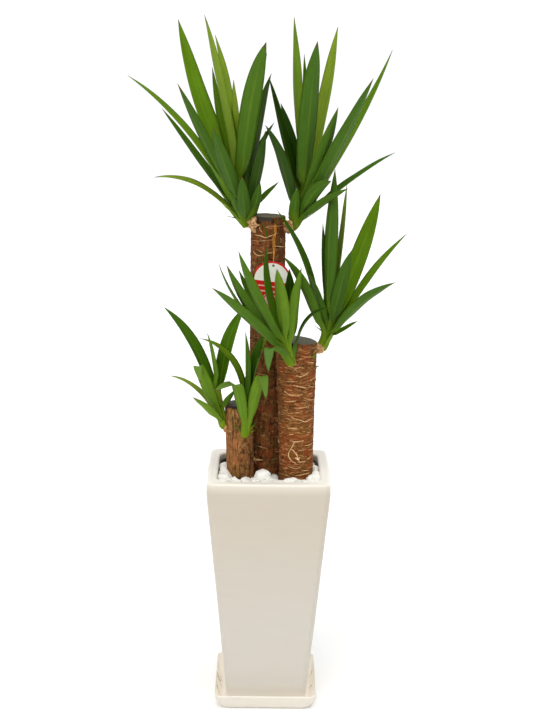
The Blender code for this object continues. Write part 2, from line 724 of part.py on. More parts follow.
def make_elastic(parts):
    points = smooth_route([Vector(p) for p in ELASTIC_ROUTE], ELASTIC_SPACING)
    radii = [ELASTIC_DIAMETER / 2] * len(points)
    elastic = tube("tag_elastic", points, radii, parts)
    elastic.data.materials.append(material("elastic", (0.70, 0.30, 0.03), 0.6))
    return elastic


def main():
    clear_scene()
    parts = new_collection("potted yucca")
    cutters = new_collection("cutters")
    make_saucer(parts)
    make_planter(parts, cutters)
    make_riser(parts)
    make_nursery_pot(parts, cutters)
    make_soil(parts, cutters)
    make_stones(parts, cutters)
    make_canes(parts)
    for name, shoot in SHOOTS.items():
        make_shoot(name, shoot, parts, cutters)
    make_tag(parts)
    make_elastic(parts)


main()
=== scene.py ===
from math import atan2, cos, degrees, floor, pi, radians, sin, sqrt
from random import Random

import bmesh
import bpy
from mathutils import Matrix, Vector, noise


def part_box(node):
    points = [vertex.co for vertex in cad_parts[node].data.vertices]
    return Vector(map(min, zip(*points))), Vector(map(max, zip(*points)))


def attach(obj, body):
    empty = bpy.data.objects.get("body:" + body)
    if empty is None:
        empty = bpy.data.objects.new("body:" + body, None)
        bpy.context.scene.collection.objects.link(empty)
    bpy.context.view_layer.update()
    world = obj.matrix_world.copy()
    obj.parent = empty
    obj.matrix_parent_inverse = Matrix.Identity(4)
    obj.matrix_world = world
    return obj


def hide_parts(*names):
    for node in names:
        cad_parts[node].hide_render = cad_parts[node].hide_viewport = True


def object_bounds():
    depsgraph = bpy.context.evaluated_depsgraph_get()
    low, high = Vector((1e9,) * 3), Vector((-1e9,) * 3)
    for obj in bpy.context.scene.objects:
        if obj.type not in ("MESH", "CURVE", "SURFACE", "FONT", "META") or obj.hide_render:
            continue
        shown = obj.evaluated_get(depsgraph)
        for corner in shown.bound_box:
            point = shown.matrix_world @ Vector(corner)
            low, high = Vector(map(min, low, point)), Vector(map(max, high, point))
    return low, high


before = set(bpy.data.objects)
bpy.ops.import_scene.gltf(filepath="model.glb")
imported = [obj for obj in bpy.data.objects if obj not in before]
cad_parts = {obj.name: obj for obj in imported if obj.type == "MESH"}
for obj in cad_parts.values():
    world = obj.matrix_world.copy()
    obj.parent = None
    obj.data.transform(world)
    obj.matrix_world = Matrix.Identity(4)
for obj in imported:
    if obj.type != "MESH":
        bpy.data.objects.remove(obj)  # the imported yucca, in metres, front at -Y
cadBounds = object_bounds()
scene = bpy.context.scene
scene.view_settings.view_transform = "Standard"
print("frame loaded with", len(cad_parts), "nodes")


# small helpers

def mix(a, b, share):
    return a + (b - a) * share


def clamp(x, low=0.0, high=1.0):
    return min(max(x, low), high)


def smoothstep(x):
    x = clamp(x)
    return x * x * (3 - 2 * x)


def ease(low, high, x):
    return smoothstep((x - low) / (high - low))


def paint(red, green, blue):
    # screen values from 0 to 255, turned into a linear colour
    def linear(value):
        value /= 255
        return value / 12.92 if value <= 0.04045 else ((value + 0.055) / 1.055) ** 2.4
    return (linear(red), linear(green), linear(blue), 1.0)


def ridden(piece, slotName, *nodes):
    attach(piece, "root")
    if nodes:
        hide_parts(*nodes)
    return piece


def addObject(name, data):
    obj = bpy.data.objects.new(name, data)
    scene.collection.objects.link(obj)
    return obj


def builtMesh(name, builder):
    mesh = bpy.data.meshes.new(name)
    builder.to_mesh(mesh)
    builder.free()
    return mesh


def compass(heading):
    # the level direction of a heading in degrees, 0 for +X, and the one on its left
    turn = radians(heading)
    return Vector((cos(turn), sin(turn), 0)), Vector((-sin(turn), cos(turn), 0))


def routeLength(points):
    return sum((b - a).length for a, b in zip(points, points[1:]))


# camera, at a standing person's eye height

cameraSet = {
    "place": (-0.0076, -3.1889, 1.5989),
    "pitch": 12.745,  # degrees below level
    "turn": 0.139,
    "roll": 0.679,
    "lens": 66.115,
}


def makeCamera():
    data = bpy.data.cameras.new("camera")
    data.lens = cameraSet["lens"]
    data.clip_end = 60
    data.dof.use_dof = False
    obj = addObject("camera", data)
    tilt = Matrix.Rotation(radians(90 - cameraSet["pitch"]), 4, "X")
    turn = Matrix.Rotation(radians(-cameraSet["turn"]), 4, "Z")
    roll = Matrix.Rotation(radians(cameraSet["roll"]), 4, "Z")
    obj.matrix_world = Matrix.Translation(cameraSet["place"]) @ turn @ tilt @ roll
    scene.camera = obj


# shader building: a wire is a socket that can be added, multiplied and so on

class Wire:
    def __init__(self, finish, socket):
        self.finish = finish
        self.socket = socket

    def __getitem__(self, name):  # another output of the same node
        return Wire(self.finish, self.socket.node.outputs[name])

    def sum(self, operation, *terms):
        return self.finish.node("ShaderNodeMath", {"operation": operation}, dict(enumerate(terms)))

    def __add__(self, other):
        return self.sum("ADD", self, other)

    def __radd__(self, other):
        return self.sum("ADD", other, self)

    def __sub__(self, other):
        return self.sum("SUBTRACT", self, other)

    def __rsub__(self, other):
        return self.sum("SUBTRACT", other, self)

    def __mul__(self, other):
        return self.sum("MULTIPLY", self, other)

    def __rmul__(self, other):
        return self.sum("MULTIPLY", other, self)

    def __pow__(self, other):
        return self.sum("POWER", self, other)

    def __abs__(self):
        return self.sum("ABSOLUTE", self)

    def sine(self):
        return self.sum("SINE", self)

    def least(self, other):
        return self.sum("MINIMUM", self, other)

    def most(self, other):
        return self.sum("MAXIMUM", self, other)

    def ramp(self, low, high):  # 0 below low, 1 above high, smooth between
        return self.finish.node(
            "ShaderNodeMapRange", {"interpolation_type": "SMOOTHSTEP"}, {0: self, 1: low, 2: high}
        )


class Finish:
    def __init__(self, name):
        self.material = bpy.data.materials.new(name)
        self.material.use_nodes = True
        self.tree = self.material.node_tree
        self.shader = self.tree.nodes["Principled BSDF"]

    def node(self, kind, settings=None, sockets=None, out=0):
        made = self.tree.nodes.new(kind)
        for key, value in (settings or {}).items():
            if key == "stops":
                stops = made.color_ramp.elements
                while len(stops) < len(value):
                    stops.new(1.0)
                for stop, (place, colour) in zip(stops, value):
                    stop.position = place
                    stop.color = colour
            else:
                setattr(made, key, value)
        for key, value in (sockets or {}).items():
            self.feed(made.inputs[key], value)
        return Wire(self, made.outputs[out])

    def feed(self, socket, value):
        if isinstance(value, Wire):
            self.tree.links.new(value.socket, socket)
        else:
            socket.default_value = value

    def set(self, **sockets):  # sockets of the shader itself, Base_Color for Base Color
        for key, value in sockets.items():
            self.feed(self.shader.inputs[key.replace("_", " ")], value)
        return self.material

    def place(self):  # the piece's own coordinates, in metres
        return self.node("ShaderNodeTexCoord", out="Object")

    def value(self, name, out="Fac"):
        return self.node("ShaderNodeAttribute", {"attribute_name": name}, out=out)

    def split(self, vector):
        parts = self.node("ShaderNodeSeparateXYZ", sockets={0: vector})
        return parts, parts["Y"], parts["Z"]

    def join(self, x=0.0, y=0.0, z=0.0):
        return self.node("ShaderNodeCombineXYZ", sockets={0: x, 1: y, 2: z})

    def stretch(self, vector, *scales):
        settings = {"operation": "MULTIPLY"}
        return self.node("ShaderNodeVectorMath", settings, {0: vector, 1: scales})

    def noise(self, vector, scale, detail=4.0, rough=0.55, twist=0.0):
        sockets = {"Vector": vector, "Scale": scale, "Detail": detail}
        sockets.update({"Roughness": rough, "Distortion": twist})
        return self.node("ShaderNodeTexNoise", sockets=sockets)

    def cells(self, vector, scale):  # how far each place is from its cell's middle
        return self.node("ShaderNodeTexVoronoi", sockets={"Vector": vector, "Scale": scale})

    def blend(self, share, first, second):
        return self.node("ShaderNodeMix", {"data_type": "RGBA"}, {0: share, 6: first, 7: second}, out=2)

    def shade(self, colour, amount):  # darker below 0, lighter above, as a wire around 0
        return self.node("ShaderNodeHueSaturation", sockets={"Value": 1.0 + amount, "Color": colour})

    def bump(self, height, depth, strength=1.0):
        sockets = {"Height": height, "Distance": depth, "Strength": strength}
        return self.node("ShaderNodeBump", sockets=sockets)


# mesh building: points, faces and named values of one piece

class Shape:
    def __init__(self, *names):
        self.points = []
        self.faces = []
        self.values = {name: [] for name in names}

    def add(self, points, faces, **values):
        start = len(self.points)
        self.points += points
        self.faces += [[i + start for i in face] for face in faces]
        for name, row in values.items():
            self.values[name] += row if isinstance(row, list) else [row] * len(points)

    def join(self, other):
        self.add(other.points, other.faces, **other.values)

    def piece(self, name, finish, sharp=None):
        mesh = bpy.data.meshes.new(name)
        mesh.from_pydata(self.points, [], self.faces)
        for key, rows in self.values.items():
            several = isinstance(rows[0], tuple)
            layer = mesh.attributes.new(key, "FLOAT_VECTOR" if several else "FLOAT", "POINT")
            if several:
                layer.data.foreach_set("vector", [x for row in rows for x in row])
            else:
                layer.data.foreach_set("value", rows)
        mesh.shade_smooth()
        if sharp:
            mesh.set_sharp_from_angle(angle=radians(sharp))
        mesh.materials.append(finish)
        return addObject(name, mesh)


def anglesRound(count):
    return [2 * pi * i / count for i in range(count)]


def gridFaces(rows, columns):
    # quads between closed rows of points
    faces = []
    for i in range(rows - 1):
        for j in range(columns):
            k = (j + 1) % columns
            a, b = i * columns, (i + 1) * columns
            faces.append([a + j, a + k, b + k, b + j])
    return faces


def ringFaces(rows, columns):
    # the same, and from the last row back to the first
    last = (rows - 1) * columns
    ends = [[last + j, last + (j + 1) % columns, (j + 1) % columns, j] for j in range(columns)]
    return gridFaces(rows, columns) + ends


def cappedFaces(rows, columns):
    # the same, with a cap at each end
    last = (rows - 1) * columns
    caps = [list(range(columns))[::-1], [last + j for j in range(columns)]]
    return gridFaces(rows, columns) + caps


def tubeShape(path, radii, sides=6):
    # points and faces of a tube along a path, closed by a cap at each end
    points = []
    across = None
    for i, place in enumerate(path):
        ahead = path[min(i + 1, len(path) - 1)] - path[max(i - 1, 0)]
        ahead.normalize()
        if across is None:
            across = ahead.orthogonal().normalized()
        across = (across - ahead * across.dot(ahead)).normalized()
        up = ahead.cross(across)
        for a in anglesRound(sides):
            points.append(place + (across * cos(a) + up * sin(a)) * radii[i])
    return points, cappedFaces(len(path), sides)


def squareRing(half, corner, z, cornerSteps=10, sideSteps=14):
    # points round a square with rounded corners, anticlockwise from above
    points = []
    for quadrant in range(4):
        turn = Matrix.Rotation(quadrant * pi / 2, 3, "Z")
        middle = Vector((half - corner, half - corner, z))
        for i in range(cornerSteps + 1):
            a = pi / 2 * i / cornerSteps
            points.append(turn @ (middle + Vector((corner * cos(a), corner * sin(a), 0))))
        reach = half - corner
        for i in range(1, sideSteps):
            x = mix(reach, -reach, i / sideSteps)
            points.append(turn @ Vector((x, half, z)))
    return points


def smoothRoute(points, spacing):
    # evenly spaced points on a smooth curve through the route's own points
    ends = [points[0] * 2 - points[1], *points, points[-1] * 2 - points[-2]]
    fine = []
    for a, b, c, d in zip(ends, ends[1:], ends[2:], ends[3:]):
        for i in range(12):
            t = i / 12
            bend = (2 * a - 5 * b + 4 * c - d) * t ** 2
            turn = (3 * b - a - 3 * c + d) * t ** 3
            fine.append(0.5 * (2 * b + (c - a) * t + bend + turn))
    fine.append(points[-1])
    lengths = [0.0]
    for a, b in zip(fine, fine[1:]):
        lengths.append(lengths[-1] + (b - a).length)
    count = round(lengths[-1] / spacing)
    even = []
    for i in range(count + 1):
        goal = lengths[-1] * i / count
        j = max(k for k, done in enumerate(lengths[:-1]) if done <= goal + 1e-12)
        share = (goal - lengths[j]) / (lengths[j + 1] - lengths[j])
        even.append(fine[j].lerp(fine[j + 1], share))
    return even


# the tag's elastic loop

loopSet = {
    "thick": 0.0013,
    "spacing": 0.0032,
    "braid": 5200,  # so that strands are about a millimetre apart
    "colour": paint(255, 182, 56),
    "shadow": paint(222, 138, 30),
    # it leaves the bark, hangs down to the hole, goes through it and back up behind the tag
    "route": [
        (0.0083, -0.0006, 1.2150), (0.0083, -0.0056, 1.2149), (0.0083, -0.0086, 1.2138),
        (0.0082, -0.0104, 1.2112), (0.0079, -0.0114, 1.2070), (0.0083, -0.0118, 1.2005),
        (0.0087, -0.0120, 1.1945), (0.0070, -0.0122, 1.1890), (0.0047, -0.0125, 1.1845),
        (0.0040, -0.0128, 1.1780), (0.0045, -0.0132, 1.1700), (0.0042, -0.0139, 1.1620),
        (0.0056, -0.0150, 1.1520), (0.0062, -0.0165, 1.1425), (0.0055, -0.0180, 1.1330),
        (0.0053, -0.0188, 1.1255), (0.0054, -0.0184, 1.1193), (0.0056, -0.0170, 1.1165),
        (0.0056, -0.0145, 1.1154), (0.0056, -0.0120, 1.1165), (0.0058, -0.0106, 1.1193),
        (0.0060, -0.0102, 1.1255), (0.0065, -0.0098, 1.1345), (0.0077, -0.0090, 1.1450),
        (0.0088, -0.0082, 1.1560), (0.0086, -0.0077, 1.1680), (0.0081, -0.0076, 1.1790),
        (0.0094, -0.0075, 1.1880), (0.0111, -0.0074, 1.1960), (0.0110, -0.0074, 1.2035),
        (0.0107, -0.0071, 1.2080), (0.0106, -0.0056, 1.2108), (0.0106, 0.0004, 1.2118),
    ],
}


def elasticFinish():
    f = Finish("braided elastic")
    x, _, z = f.split(f.place())
    braid = ((z + x * 0.6) * loopSet["braid"]).sine() * 0.5 + 0.5
    worn = f.noise(f.place(), 260.0)
    colour = f.blend(braid * 0.7 + worn * 0.3, loopSet["shadow"], loopSet["colour"])
    return f.set(Base_Color=colour, Roughness=0.7, Normal=f.bump(braid, 0.0001))


def makeLoop():
    route = smoothRoute([Vector(p) for p in loopSet["route"]], loopSet["spacing"])
    curve = bpy.data.curves.new("tag_loop", "CURVE")
    curve.dimensions = "3D"
    curve.bevel_depth = loopSet["thick"] / 2
    curve.bevel_resolution = 3
    curve.use_fill_caps = True
    spline = curve.splines.new("POLY")
    spline.points.add(len(route) - 1)
    for point, place in zip(spline.points, route):
        point.co = (*place, 1.0)
    curve.materials.append(elasticFinish())
    loop = addObject("tag_loop", curve)
    print("elastic loop, metres:", round(routeLength(route), 4))
    return ridden(loop, "elastic", "tag_elastic")


# the care tag: a card with a domed top, white above and red below, with no printing

tagSet = {
    "width": 0.084,
    "height": 0.122,
    "thick": 0.0008,
    "dome": 0.026,
    "corner": 0.006,
    "hole": (0.0056, -0.0145, 1.1154),
    "holeWide": 0.006,
    "holeDrop": 0.0105,
    "turn": 6.5,
    "lean": 3.0,
    "stripe": 0.0046,  # red line along the dome's edge
    "fieldTop": -0.0400,  # where the red half starts, below the hole
    "bars": [(-0.0520, 0.0030, 0.030), (-0.0650, 0.0036, 0.024)],  # height, thickness and half length
    "discDrop": 0.086,  # a plain pale disc in the red half, with a red ring on it
    "disc": 0.0170,
    "ring": (0.0118, 0.0148),
    "curl": 0.0012,
    "rings": 14,
    "white": paint(250, 249, 236),
    "red": paint(216, 26, 22),
    "pale": paint(236, 190, 172),
}


def tagOutline():
    half = tagSet["width"] / 2
    dome = tagSet["dome"]
    low = tagSet["holeDrop"] - tagSet["height"]
    corner = tagSet["corner"]
    radius = (half ** 2 + dome ** 2) / (2 * dome)
    spread = atan2(half, radius - dome)
    points = []
    for i in range(41):
        a = spread * (1 - i / 20)
        points.append(Vector((radius * sin(a), tagSet["holeDrop"] - radius + radius * cos(a), 0)))
    for i in range(1, 12):
        points.append(Vector((-half, mix(tagSet["holeDrop"] - dome, low + corner, i / 12), 0)))
    for side, start in ((-1, 180), (1, 270)):
        for i in range(7):
            a = radians(start + 15 * i)
            middle = Vector((side * (half - corner), low + corner, 0))
            points.append(middle + Vector((corner * cos(a), corner * sin(a), 0)))
        if side == -1:
            points += [Vector((mix(-1, 1, i / 10) * (half - corner), low, 0)) for i in range(1, 10)]
    for i in range(1, 12):
        points.append(Vector((half, mix(low + corner, tagSet["holeDrop"] - dome, i / 12), 0)))
    return points


def tagFinish():
    f = Finish("tag card")
    half = tagSet["width"] / 2
    x, y, _ = f.split(f.place())
    radius = (half ** 2 + tagSet["dome"] ** 2) / (2 * tagSet["dome"])
    below = y - (tagSet["holeDrop"] - radius)
    reach = (x * x + below * below) ** 0.5
    stripe = reach.ramp(radius - tagSet["stripe"] - 0.0002, radius - tagSet["stripe"] + 0.0002)
    field = 1 - y.ramp(tagSet["fieldTop"] - 0.0003, tagSet["fieldTop"] + 0.0003)
    colour = f.blend(stripe.most(field), tagSet["white"], tagSet["red"])
    for middle, tall, wide in tagSet["bars"]:
        low, high = middle - tall / 2, middle + tall / 2
        bar = y.ramp(low - 0.0003, low) * (1 - y.ramp(high, high + 0.0003))
        colour = f.blend(bar * (1 - abs(x).ramp(wide, wide + 0.0004)), colour, tagSet["pale"])
    out = (x * x + (y + tagSet["discDrop"]) ** 2.0) ** 0.5
    inner, outer = tagSet["ring"]
    colour = f.blend(1 - out.ramp(tagSet["disc"], tagSet["disc"] + 0.0004), colour, tagSet["pale"])
    ring = out.ramp(inner, inner + 0.0004) * (1 - out.ramp(outer, outer + 0.0004))
    colour = f.blend(ring, colour, tagSet["red"])
    grime = f.noise(f.place(), 55.0, 5.0)
    colour = f.shade(colour, (grime - 0.5) * 0.10)
    rough = 0.32 + grime * 0.12
    fibres = f.noise(f.place(), 900.0, 2.0)
    return f.set(Base_Color=colour, Roughness=rough, Specular_IOR_Level=0.3, Normal=f.bump(fibres, 0.00003))


def makeTag():
    outline = tagOutline()
    hole = tagSet["holeWide"] / 2
    thick = tagSet["thick"] / 2
    shape = Shape()
    rows = []
    for side in (1, -1):
        loops = []
        for k in range(tagSet["rings"] + 1):
            share = (k / tagSet["rings"]) ** 1.2
            row = []
            for edge in outline:
                p = (edge.normalized() * hole).lerp(edge, share)
                curl = tagSet["curl"] * (p.x / tagSet["width"] * 2) ** 2
                soft = 0.75 if k in (0, tagSet["rings"]) else 1.0  # cut edges are slightly rounded
                row.append(Vector((p.x, p.y, side * thick * soft - curl)))
            loops.append(row)
        rows += loops if side == 1 else loops[::-1]
    shape.add([p for row in rows for p in row], ringFaces(len(rows), len(outline)))
    tag = shape.piece("care_tag", tagFinish(), sharp=50)
    upright = Matrix.Rotation(radians(90 + tagSet["lean"]), 4, "X")
    turn = Matrix.Rotation(radians(-tagSet["turn"]), 4, "Z")
    tag.matrix_world = Matrix.Translation(tagSet["hole"]) @ upright @ turn
    return ridden(tag, "tag", "plant_tag")


makeCamera()
loop = makeLoop()
makeTag()
print("camera, elastic and tag made")


# floor, backdrop and light

studioSet = {
    "floorWide": 30.0,
    "floor": paint(252, 252, 251),
    "domeRadius": 22.0,
    "glow": 0.09,  # keeps the floor's soft shadow faint
    "world": 0.62,
    "keyPower": 0.9,
    "keyTurn": (48, 0, -24),  # degrees, so that it comes from the front, above and a little left
    "topPower": 1.25,
    "topTurn": (12, 6, 0),
    "soft": 50.0,
    "lightColour": (1.0, 0.985, 0.96),
    "sky": (0.97, 0.985, 1.0, 1.0),
    "backdrop": 1.05,
}


def makeSun(name, power, turn):
    data = bpy.data.lights.new(name, "SUN")
    data.energy = power
    data.angle = radians(studioSet["soft"])
    data.color = studioSet["lightColour"]
    addObject(name, data).rotation_euler = [radians(a) for a in turn]


def makeStudio():
    world = bpy.data.worlds.new("studio")
    scene.world = world
    world.use_nodes = True
    backdrop = world.node_tree.nodes["Background"]
    backdrop.inputs["Color"].default_value = studioSet["sky"]
    backdrop.inputs["Strength"].default_value = studioSet["world"]
    makeSun("key light", studioSet["keyPower"], studioSet["keyTurn"])
    makeSun("top light", studioSet["topPower"], studioSet["topTurn"])
    f = Finish("floor paper")
    tone = f.noise(f.place(), 3.0)
    colour = f.shade(studioSet["floor"], (tone - 0.5) * 0.02)
    f.set(Base_Color=colour, Roughness=0.9, Specular_IOR_Level=0.0)
    f.set(Emission_Color=(1, 1, 1, 1), Emission_Strength=studioSet["glow"])
    builder = bmesh.new()
    bmesh.ops.create_grid(builder, x_segments=8, y_segments=8, size=studioSet["floorWide"] / 2)
    ground = addObject("floor", builtMesh("floor", builder))
    ground.data.materials.append(f.material)
    ground.location.z = cadBounds[0][2] - 0.0005
    builder = bmesh.new()
    bmesh.ops.create_uvsphere(builder, u_segments=48, v_segments=24, radius=studioSet["domeRadius"])
    f = Finish("backdrop paper")
    f.set(Base_Color=(0, 0, 0, 1), Specular_IOR_Level=0.0)
    f.set(Emission_Color=(1, 1, 1, 1), Emission_Strength=studioSet["backdrop"])
    dome = addObject("backdrop", builtMesh("backdrop", builder))
    dome.data.materials.append(f.material)
    dome.visible_diffuse = dome.visible_glossy = dome.visible_transmission = False
    dome.visible_shadow = False


makeStudio()
print("studio made")


# holders: planter, saucer, nursery pot and the foam under it

planterSet = {
    "band": 0.034,  # upright part below the rim
    "rim": 0.025,
    "wall": 0.015,
    "floor": 0.020,
    "corner": 0.016,
    "innerCorner": 0.032,
    "bulge": 0.0030,  # how far each side stands out in its middle, at the rim
    "round": 0.007,
    "footWide": 0.199,
    "footStep": 0.005,
    "drain": 0.015,
    "waver": 0.0005,  # how far the hand-pressed walls stray from flat
    "glaze": paint(200, 194, 184),
    "warm": paint(198, 187, 170),
    "thin": paint(246, 241, 230),
    "dirt": paint(120, 104, 84),
    "smudge": paint(150, 146, 140),
    "lit": paint(232, 230, 224),
    "glow": 0.22,
}


def glazeFinish(low, high):
    f = Finish("planter glaze")
    place = f.place()
    _, y, z = f.split(place)
    edge = f.value("edge")
    inside = f.value("inside")
    cloud = f.noise(place, 7.0, 5.0)
    warm = z.ramp(mix(low, high, 0.35), high) * 0.75 + cloud * 0.35
    colour = f.blend(warm.least(1.0), planterSet["glaze"], planterSet["warm"])
    brushed = f.noise(f.stretch(place, 9.0, 9.0, 60.0), 1.0, 3.0)
    colour = f.shade(colour, (brushed - 0.5) * 0.045)
    # edges paler: the glaze runs thin there, and a painted highlight lightens the rim's top
    colour = f.blend(edge * 0.8, colour, planterSet["thin"])
    pits = f.cells(place, 160.0)
    pit = (1 - pits.ramp(0.04, 0.10)) * f.noise(place, 60.0).ramp(0.60, 0.66)
    colour = f.blend(pit * 0.45, colour, planterSet["dirt"])
    smudge = f.noise(f.stretch(place, 1.0, 1.0, 0.55), 38.0, 6.0, 0.65).ramp(0.50, 0.72) * inside
    colour = f.blend(smudge * 0.75, colour, planterSet["smudge"])
    # the lowest few millimetres darker and rougher
    foot = (1 - z.ramp(low + 0.001, low + 0.0065)) * (0.55 + cloud * 0.5)
    colour = f.blend(foot, colour, planterSet["dirt"])
    rough = 0.27 + cloud * 0.12 + smudge * 0.25 + foot * 0.3
    ripple = f.noise(place, 32.0, 2.0) * 0.8 + f.noise(place, 240.0, 2.0) * 0.08 - pit * 0.3
    crown = edge * y.ramp(-0.148, -0.136)  # painted highlight: emission lights the rim's top except along the front
    rise = 1 - z.ramp(low, low + 0.075)  # painted light: the foot glows too, lifting the shade of the saucer's walls
    lit = f.blend((rise.most(crown * 0.9) - inside).most(0), (0, 0, 0, 1), planterSet["lit"])
    f.set(Emission_Color=lit, Emission_Strength=planterSet["glow"])
    return f.set(Base_Color=colour, Roughness=rough, Coat_Weight=0.15, Normal=f.bump(ripple, 0.0004, 0.8))


def makePlanter():
    lowest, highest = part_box("planter")
    base, top = lowest.z, highest.z
    half = highest.x
    foot = planterSet["footWide"] / 2
    step = planterSet["footStep"]
    band = top - planterSet["band"]
    curve = planterSet["round"]

    def wallHalf(z):
        return mix(foot, half, clamp((z - base - step) / (band - base - step)))

    # half width, height, how much it is an edge where glaze runs thin and a highlight is painted, whether it
    # is inside
    profile = [(planterSet["drain"], base, 0, 0), (foot - step - 0.012, base, 0, 0)]
    profile += [(foot - step, base + 0.0008, 0, 0), (foot - step, base + step * 0.6, 0, 0)]
    profile += [(foot - 0.0012, base + step * 0.75, 0, 0), (foot, base + step * 1.1, 0.4, 0)]
    for i in range(1, 34):
        z = mix(base + step * 1.1, band - 0.008, i / 33)
        profile.append((wallHalf(z), z, 0, 0))
    profile += [(half - 0.0009, band - 0.004, 0, 0), (half - 0.0003, band, 0, 0), (half, band + 0.006, 0, 0)]
    profile += [(half, mix(band + 0.006, top - curve, i / 3), 0.15 * i, 0) for i in (1, 2)]
    for i in range(9):
        a = pi / 2 * i / 8
        profile.append((half - curve + curve * cos(a), top - curve + curve * sin(a), min(0.5 + i / 8, 1), 0))
    opening = half - planterSet["rim"]
    profile.append(((half - curve + opening + curve) / 2, top + 0.0006, 0.9, 0))
    for i in range(9):
        a = pi / 2 + pi / 2 * i / 8
        edge = 1 - max(i - 4, 0) / 6
        profile.append((opening + curve + curve * cos(a), top - curve + curve * sin(a), edge, i / 16))
    under = band - planterSet["rim"]
    profile += [(opening, band, 0, 1), (wallHalf(under) - planterSet["wall"], under, 0, 1)]
    floorTop = base + planterSet["floor"]
    for i in range(1, 12):
        z = mix(under, floorTop + 0.01, i / 11)
        profile.append((wallHalf(z) - planterSet["wall"], z, 0, 1))
    profile += [(foot - planterSet["wall"] - 0.008, floorTop, 0, 1), (planterSet["drain"], floorTop, 0, 1)]
    shape = Shape("edge", "inside")
    for number, (reach, z, edge, inside) in enumerate(profile):
        corner = planterSet["innerCorner"] if inside > 0 else planterSet["corner"]
        ring = squareRing(reach, min(corner, reach), z)
        stray = planterSet["waver"] if 1 < number < len(profile) - 2 else 0
        bulge = planterSet["bulge"] * (0.3 + 0.7 * (z - base) / (top - base)) * (0.4 if inside else 1)
        for p in ring:
            out = Vector((p.x, p.y, 0)).normalized()
            p += out * noise.noise(Vector((p.x * 9, p.y * 9, z * 5))) * stray
            if stray:
                p.x += bulge * (1 - clamp(abs(p.y) / reach) ** 2) * clamp(p.x / reach, -1, 1) ** 3
                p.y += bulge * (1 - clamp(abs(p.x) / reach) ** 2) * clamp(p.y / reach, -1, 1) ** 3
            if z > band:
                p.z += noise.noise(Vector((p.x * 14, p.y * 14, 3.1))) * stray * 1.6
        shape.add(ring, [], edge=float(edge), inside=float(inside))
    shape.faces = ringFaces(len(profile), len(ring))
    piece = shape.piece("glazed_planter", glazeFinish(base, top), sharp=50)
    return ridden(piece, "glaze", "planter")


saucerSet = {
    "footWide": 0.230,
    "wall": 0.003,
    "floor": 0.004,
    "corner": 0.025,
    "rimCorner": 0.014,
    "cream": paint(222, 215, 203),
    "light": paint(236, 230, 217),
    "stain": paint(140, 118, 74),
    "glow": 0.36,  # painted light: the inside glows, lifting the shade of the planter and of its own walls
}


def saucerFinish(rim):
    f = Finish("saucer plastic")
    place = f.place()
    x, y, z = f.split(place)
    cloud = f.noise(place, 16.0, 5.0)
    # painted highlight: the top few millimetres of the rim lighter
    colour = f.blend(z.ramp(rim - 0.006, rim) * 0.8, saucerSet["cream"], saucerSet["light"])
    colour = f.shade(colour, (cloud - 0.5) * 0.05)
    inside = f.value("inside")
    drops = f.noise(f.stretch(place, 1.0, 1.0, 0.6), 60.0, 6.0, 0.7).ramp(0.50, 0.64)
    beside = abs(x).ramp(0.100, 0.112) * (1 - abs(y + 0.01).ramp(0.050, 0.085))
    stain = drops * inside * beside * z.ramp(0.003, 0.010)
    colour = f.blend(stain * 0.75, colour, saucerSet["stain"])
    scratch = f.noise(f.stretch(place, 40.0, 40.0, 900.0), 1.0, 2.0)
    rough = 0.30 + cloud * 0.14 + stain * 0.3
    # painted light: the inside glows in its own colour
    f.set(Emission_Color=f.blend(inside, (0, 0, 0, 1), colour), Emission_Strength=saucerSet["glow"])
    return f.set(Base_Color=colour, Roughness=rough, Normal=f.bump(scratch, 0.00012, 0.5))


def makeSaucer():
    lowest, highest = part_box("saucer")
    foot = saucerSet["footWide"] / 2
    middle = (lowest + highest) / 2
    rim = highest.x - middle.x
    top = highest.z
    wall = saucerSet["wall"]
    inner = rim - wall

    def flare(share, inset):
        # from the foot's rounded edge up to the rim, a little hollow
        start = foot + 0.004
        return mix(start, rim, share) + 0.001 * sin(pi * share) - inset

    profile = [(0.004, 0.0012, 0), (foot - 0.020, 0.0012, 0), (foot - 0.016, 0.0, 0), (foot - 0.006, 0.0, 0)]
    profile += [(foot - 0.0015, 0.0010, 0), (foot + 0.002, 0.0032, 0), (foot + 0.004, 0.0058, 0)]
    profile += [(flare(i / 8, 0), mix(0.0058, top - 0.0045, i / 8), 0) for i in range(1, 9)]
    profile += [(rim + 0.0003, top - 0.0032, 0), (rim, top - 0.0012, 0), (rim - 0.0008, top - 0.0003, 0)]
    profile += [(rim - 0.0017, top, 0), (inner + 0.0006, top - 0.0006, 0.3), (inner, top - 0.0020, 1)]
    profile += [(flare(1 - i / 8, wall), mix(top - 0.0045, 0.0085, i / 8), 1) for i in range(1, 9)]
    bottom = saucerSet["floor"]
    profile += [(foot - 0.001, 0.0050, 1), (foot - 0.006, bottom, 1), (0.004, bottom, 1)]
    shape = Shape("inside")
    for reach, z, inside in profile:
        corner = min(mix(saucerSet["corner"], saucerSet["rimCorner"], z / top), reach)
        ring = [p + Vector((middle.x, middle.y, 0)) for p in squareRing(reach, corner, lowest.z + z)]
        if z > 0.006:
            for p in ring:
                p.z += noise.noise(Vector((p.x * 11, p.y * 11, 0))) * 0.0006 * z / top
        shape.add(ring, [], inside=float(inside))
    shape.faces = cappedFaces(len(profile), len(ring))
    piece = shape.piece("square_saucer", saucerFinish(highest.z), sharp=60)
    return ridden(piece, "saucer", "saucer")


growPotSet = {
    "footWide": 0.208,
    "wall": 0.0018,
    "corner": 0.042,
    "band": 0.012,
    "holeSpread": 0.092,
    "hole": 0.008,
    "black": paint(15, 15, 16),
    "dust": paint(92, 84, 72),
}


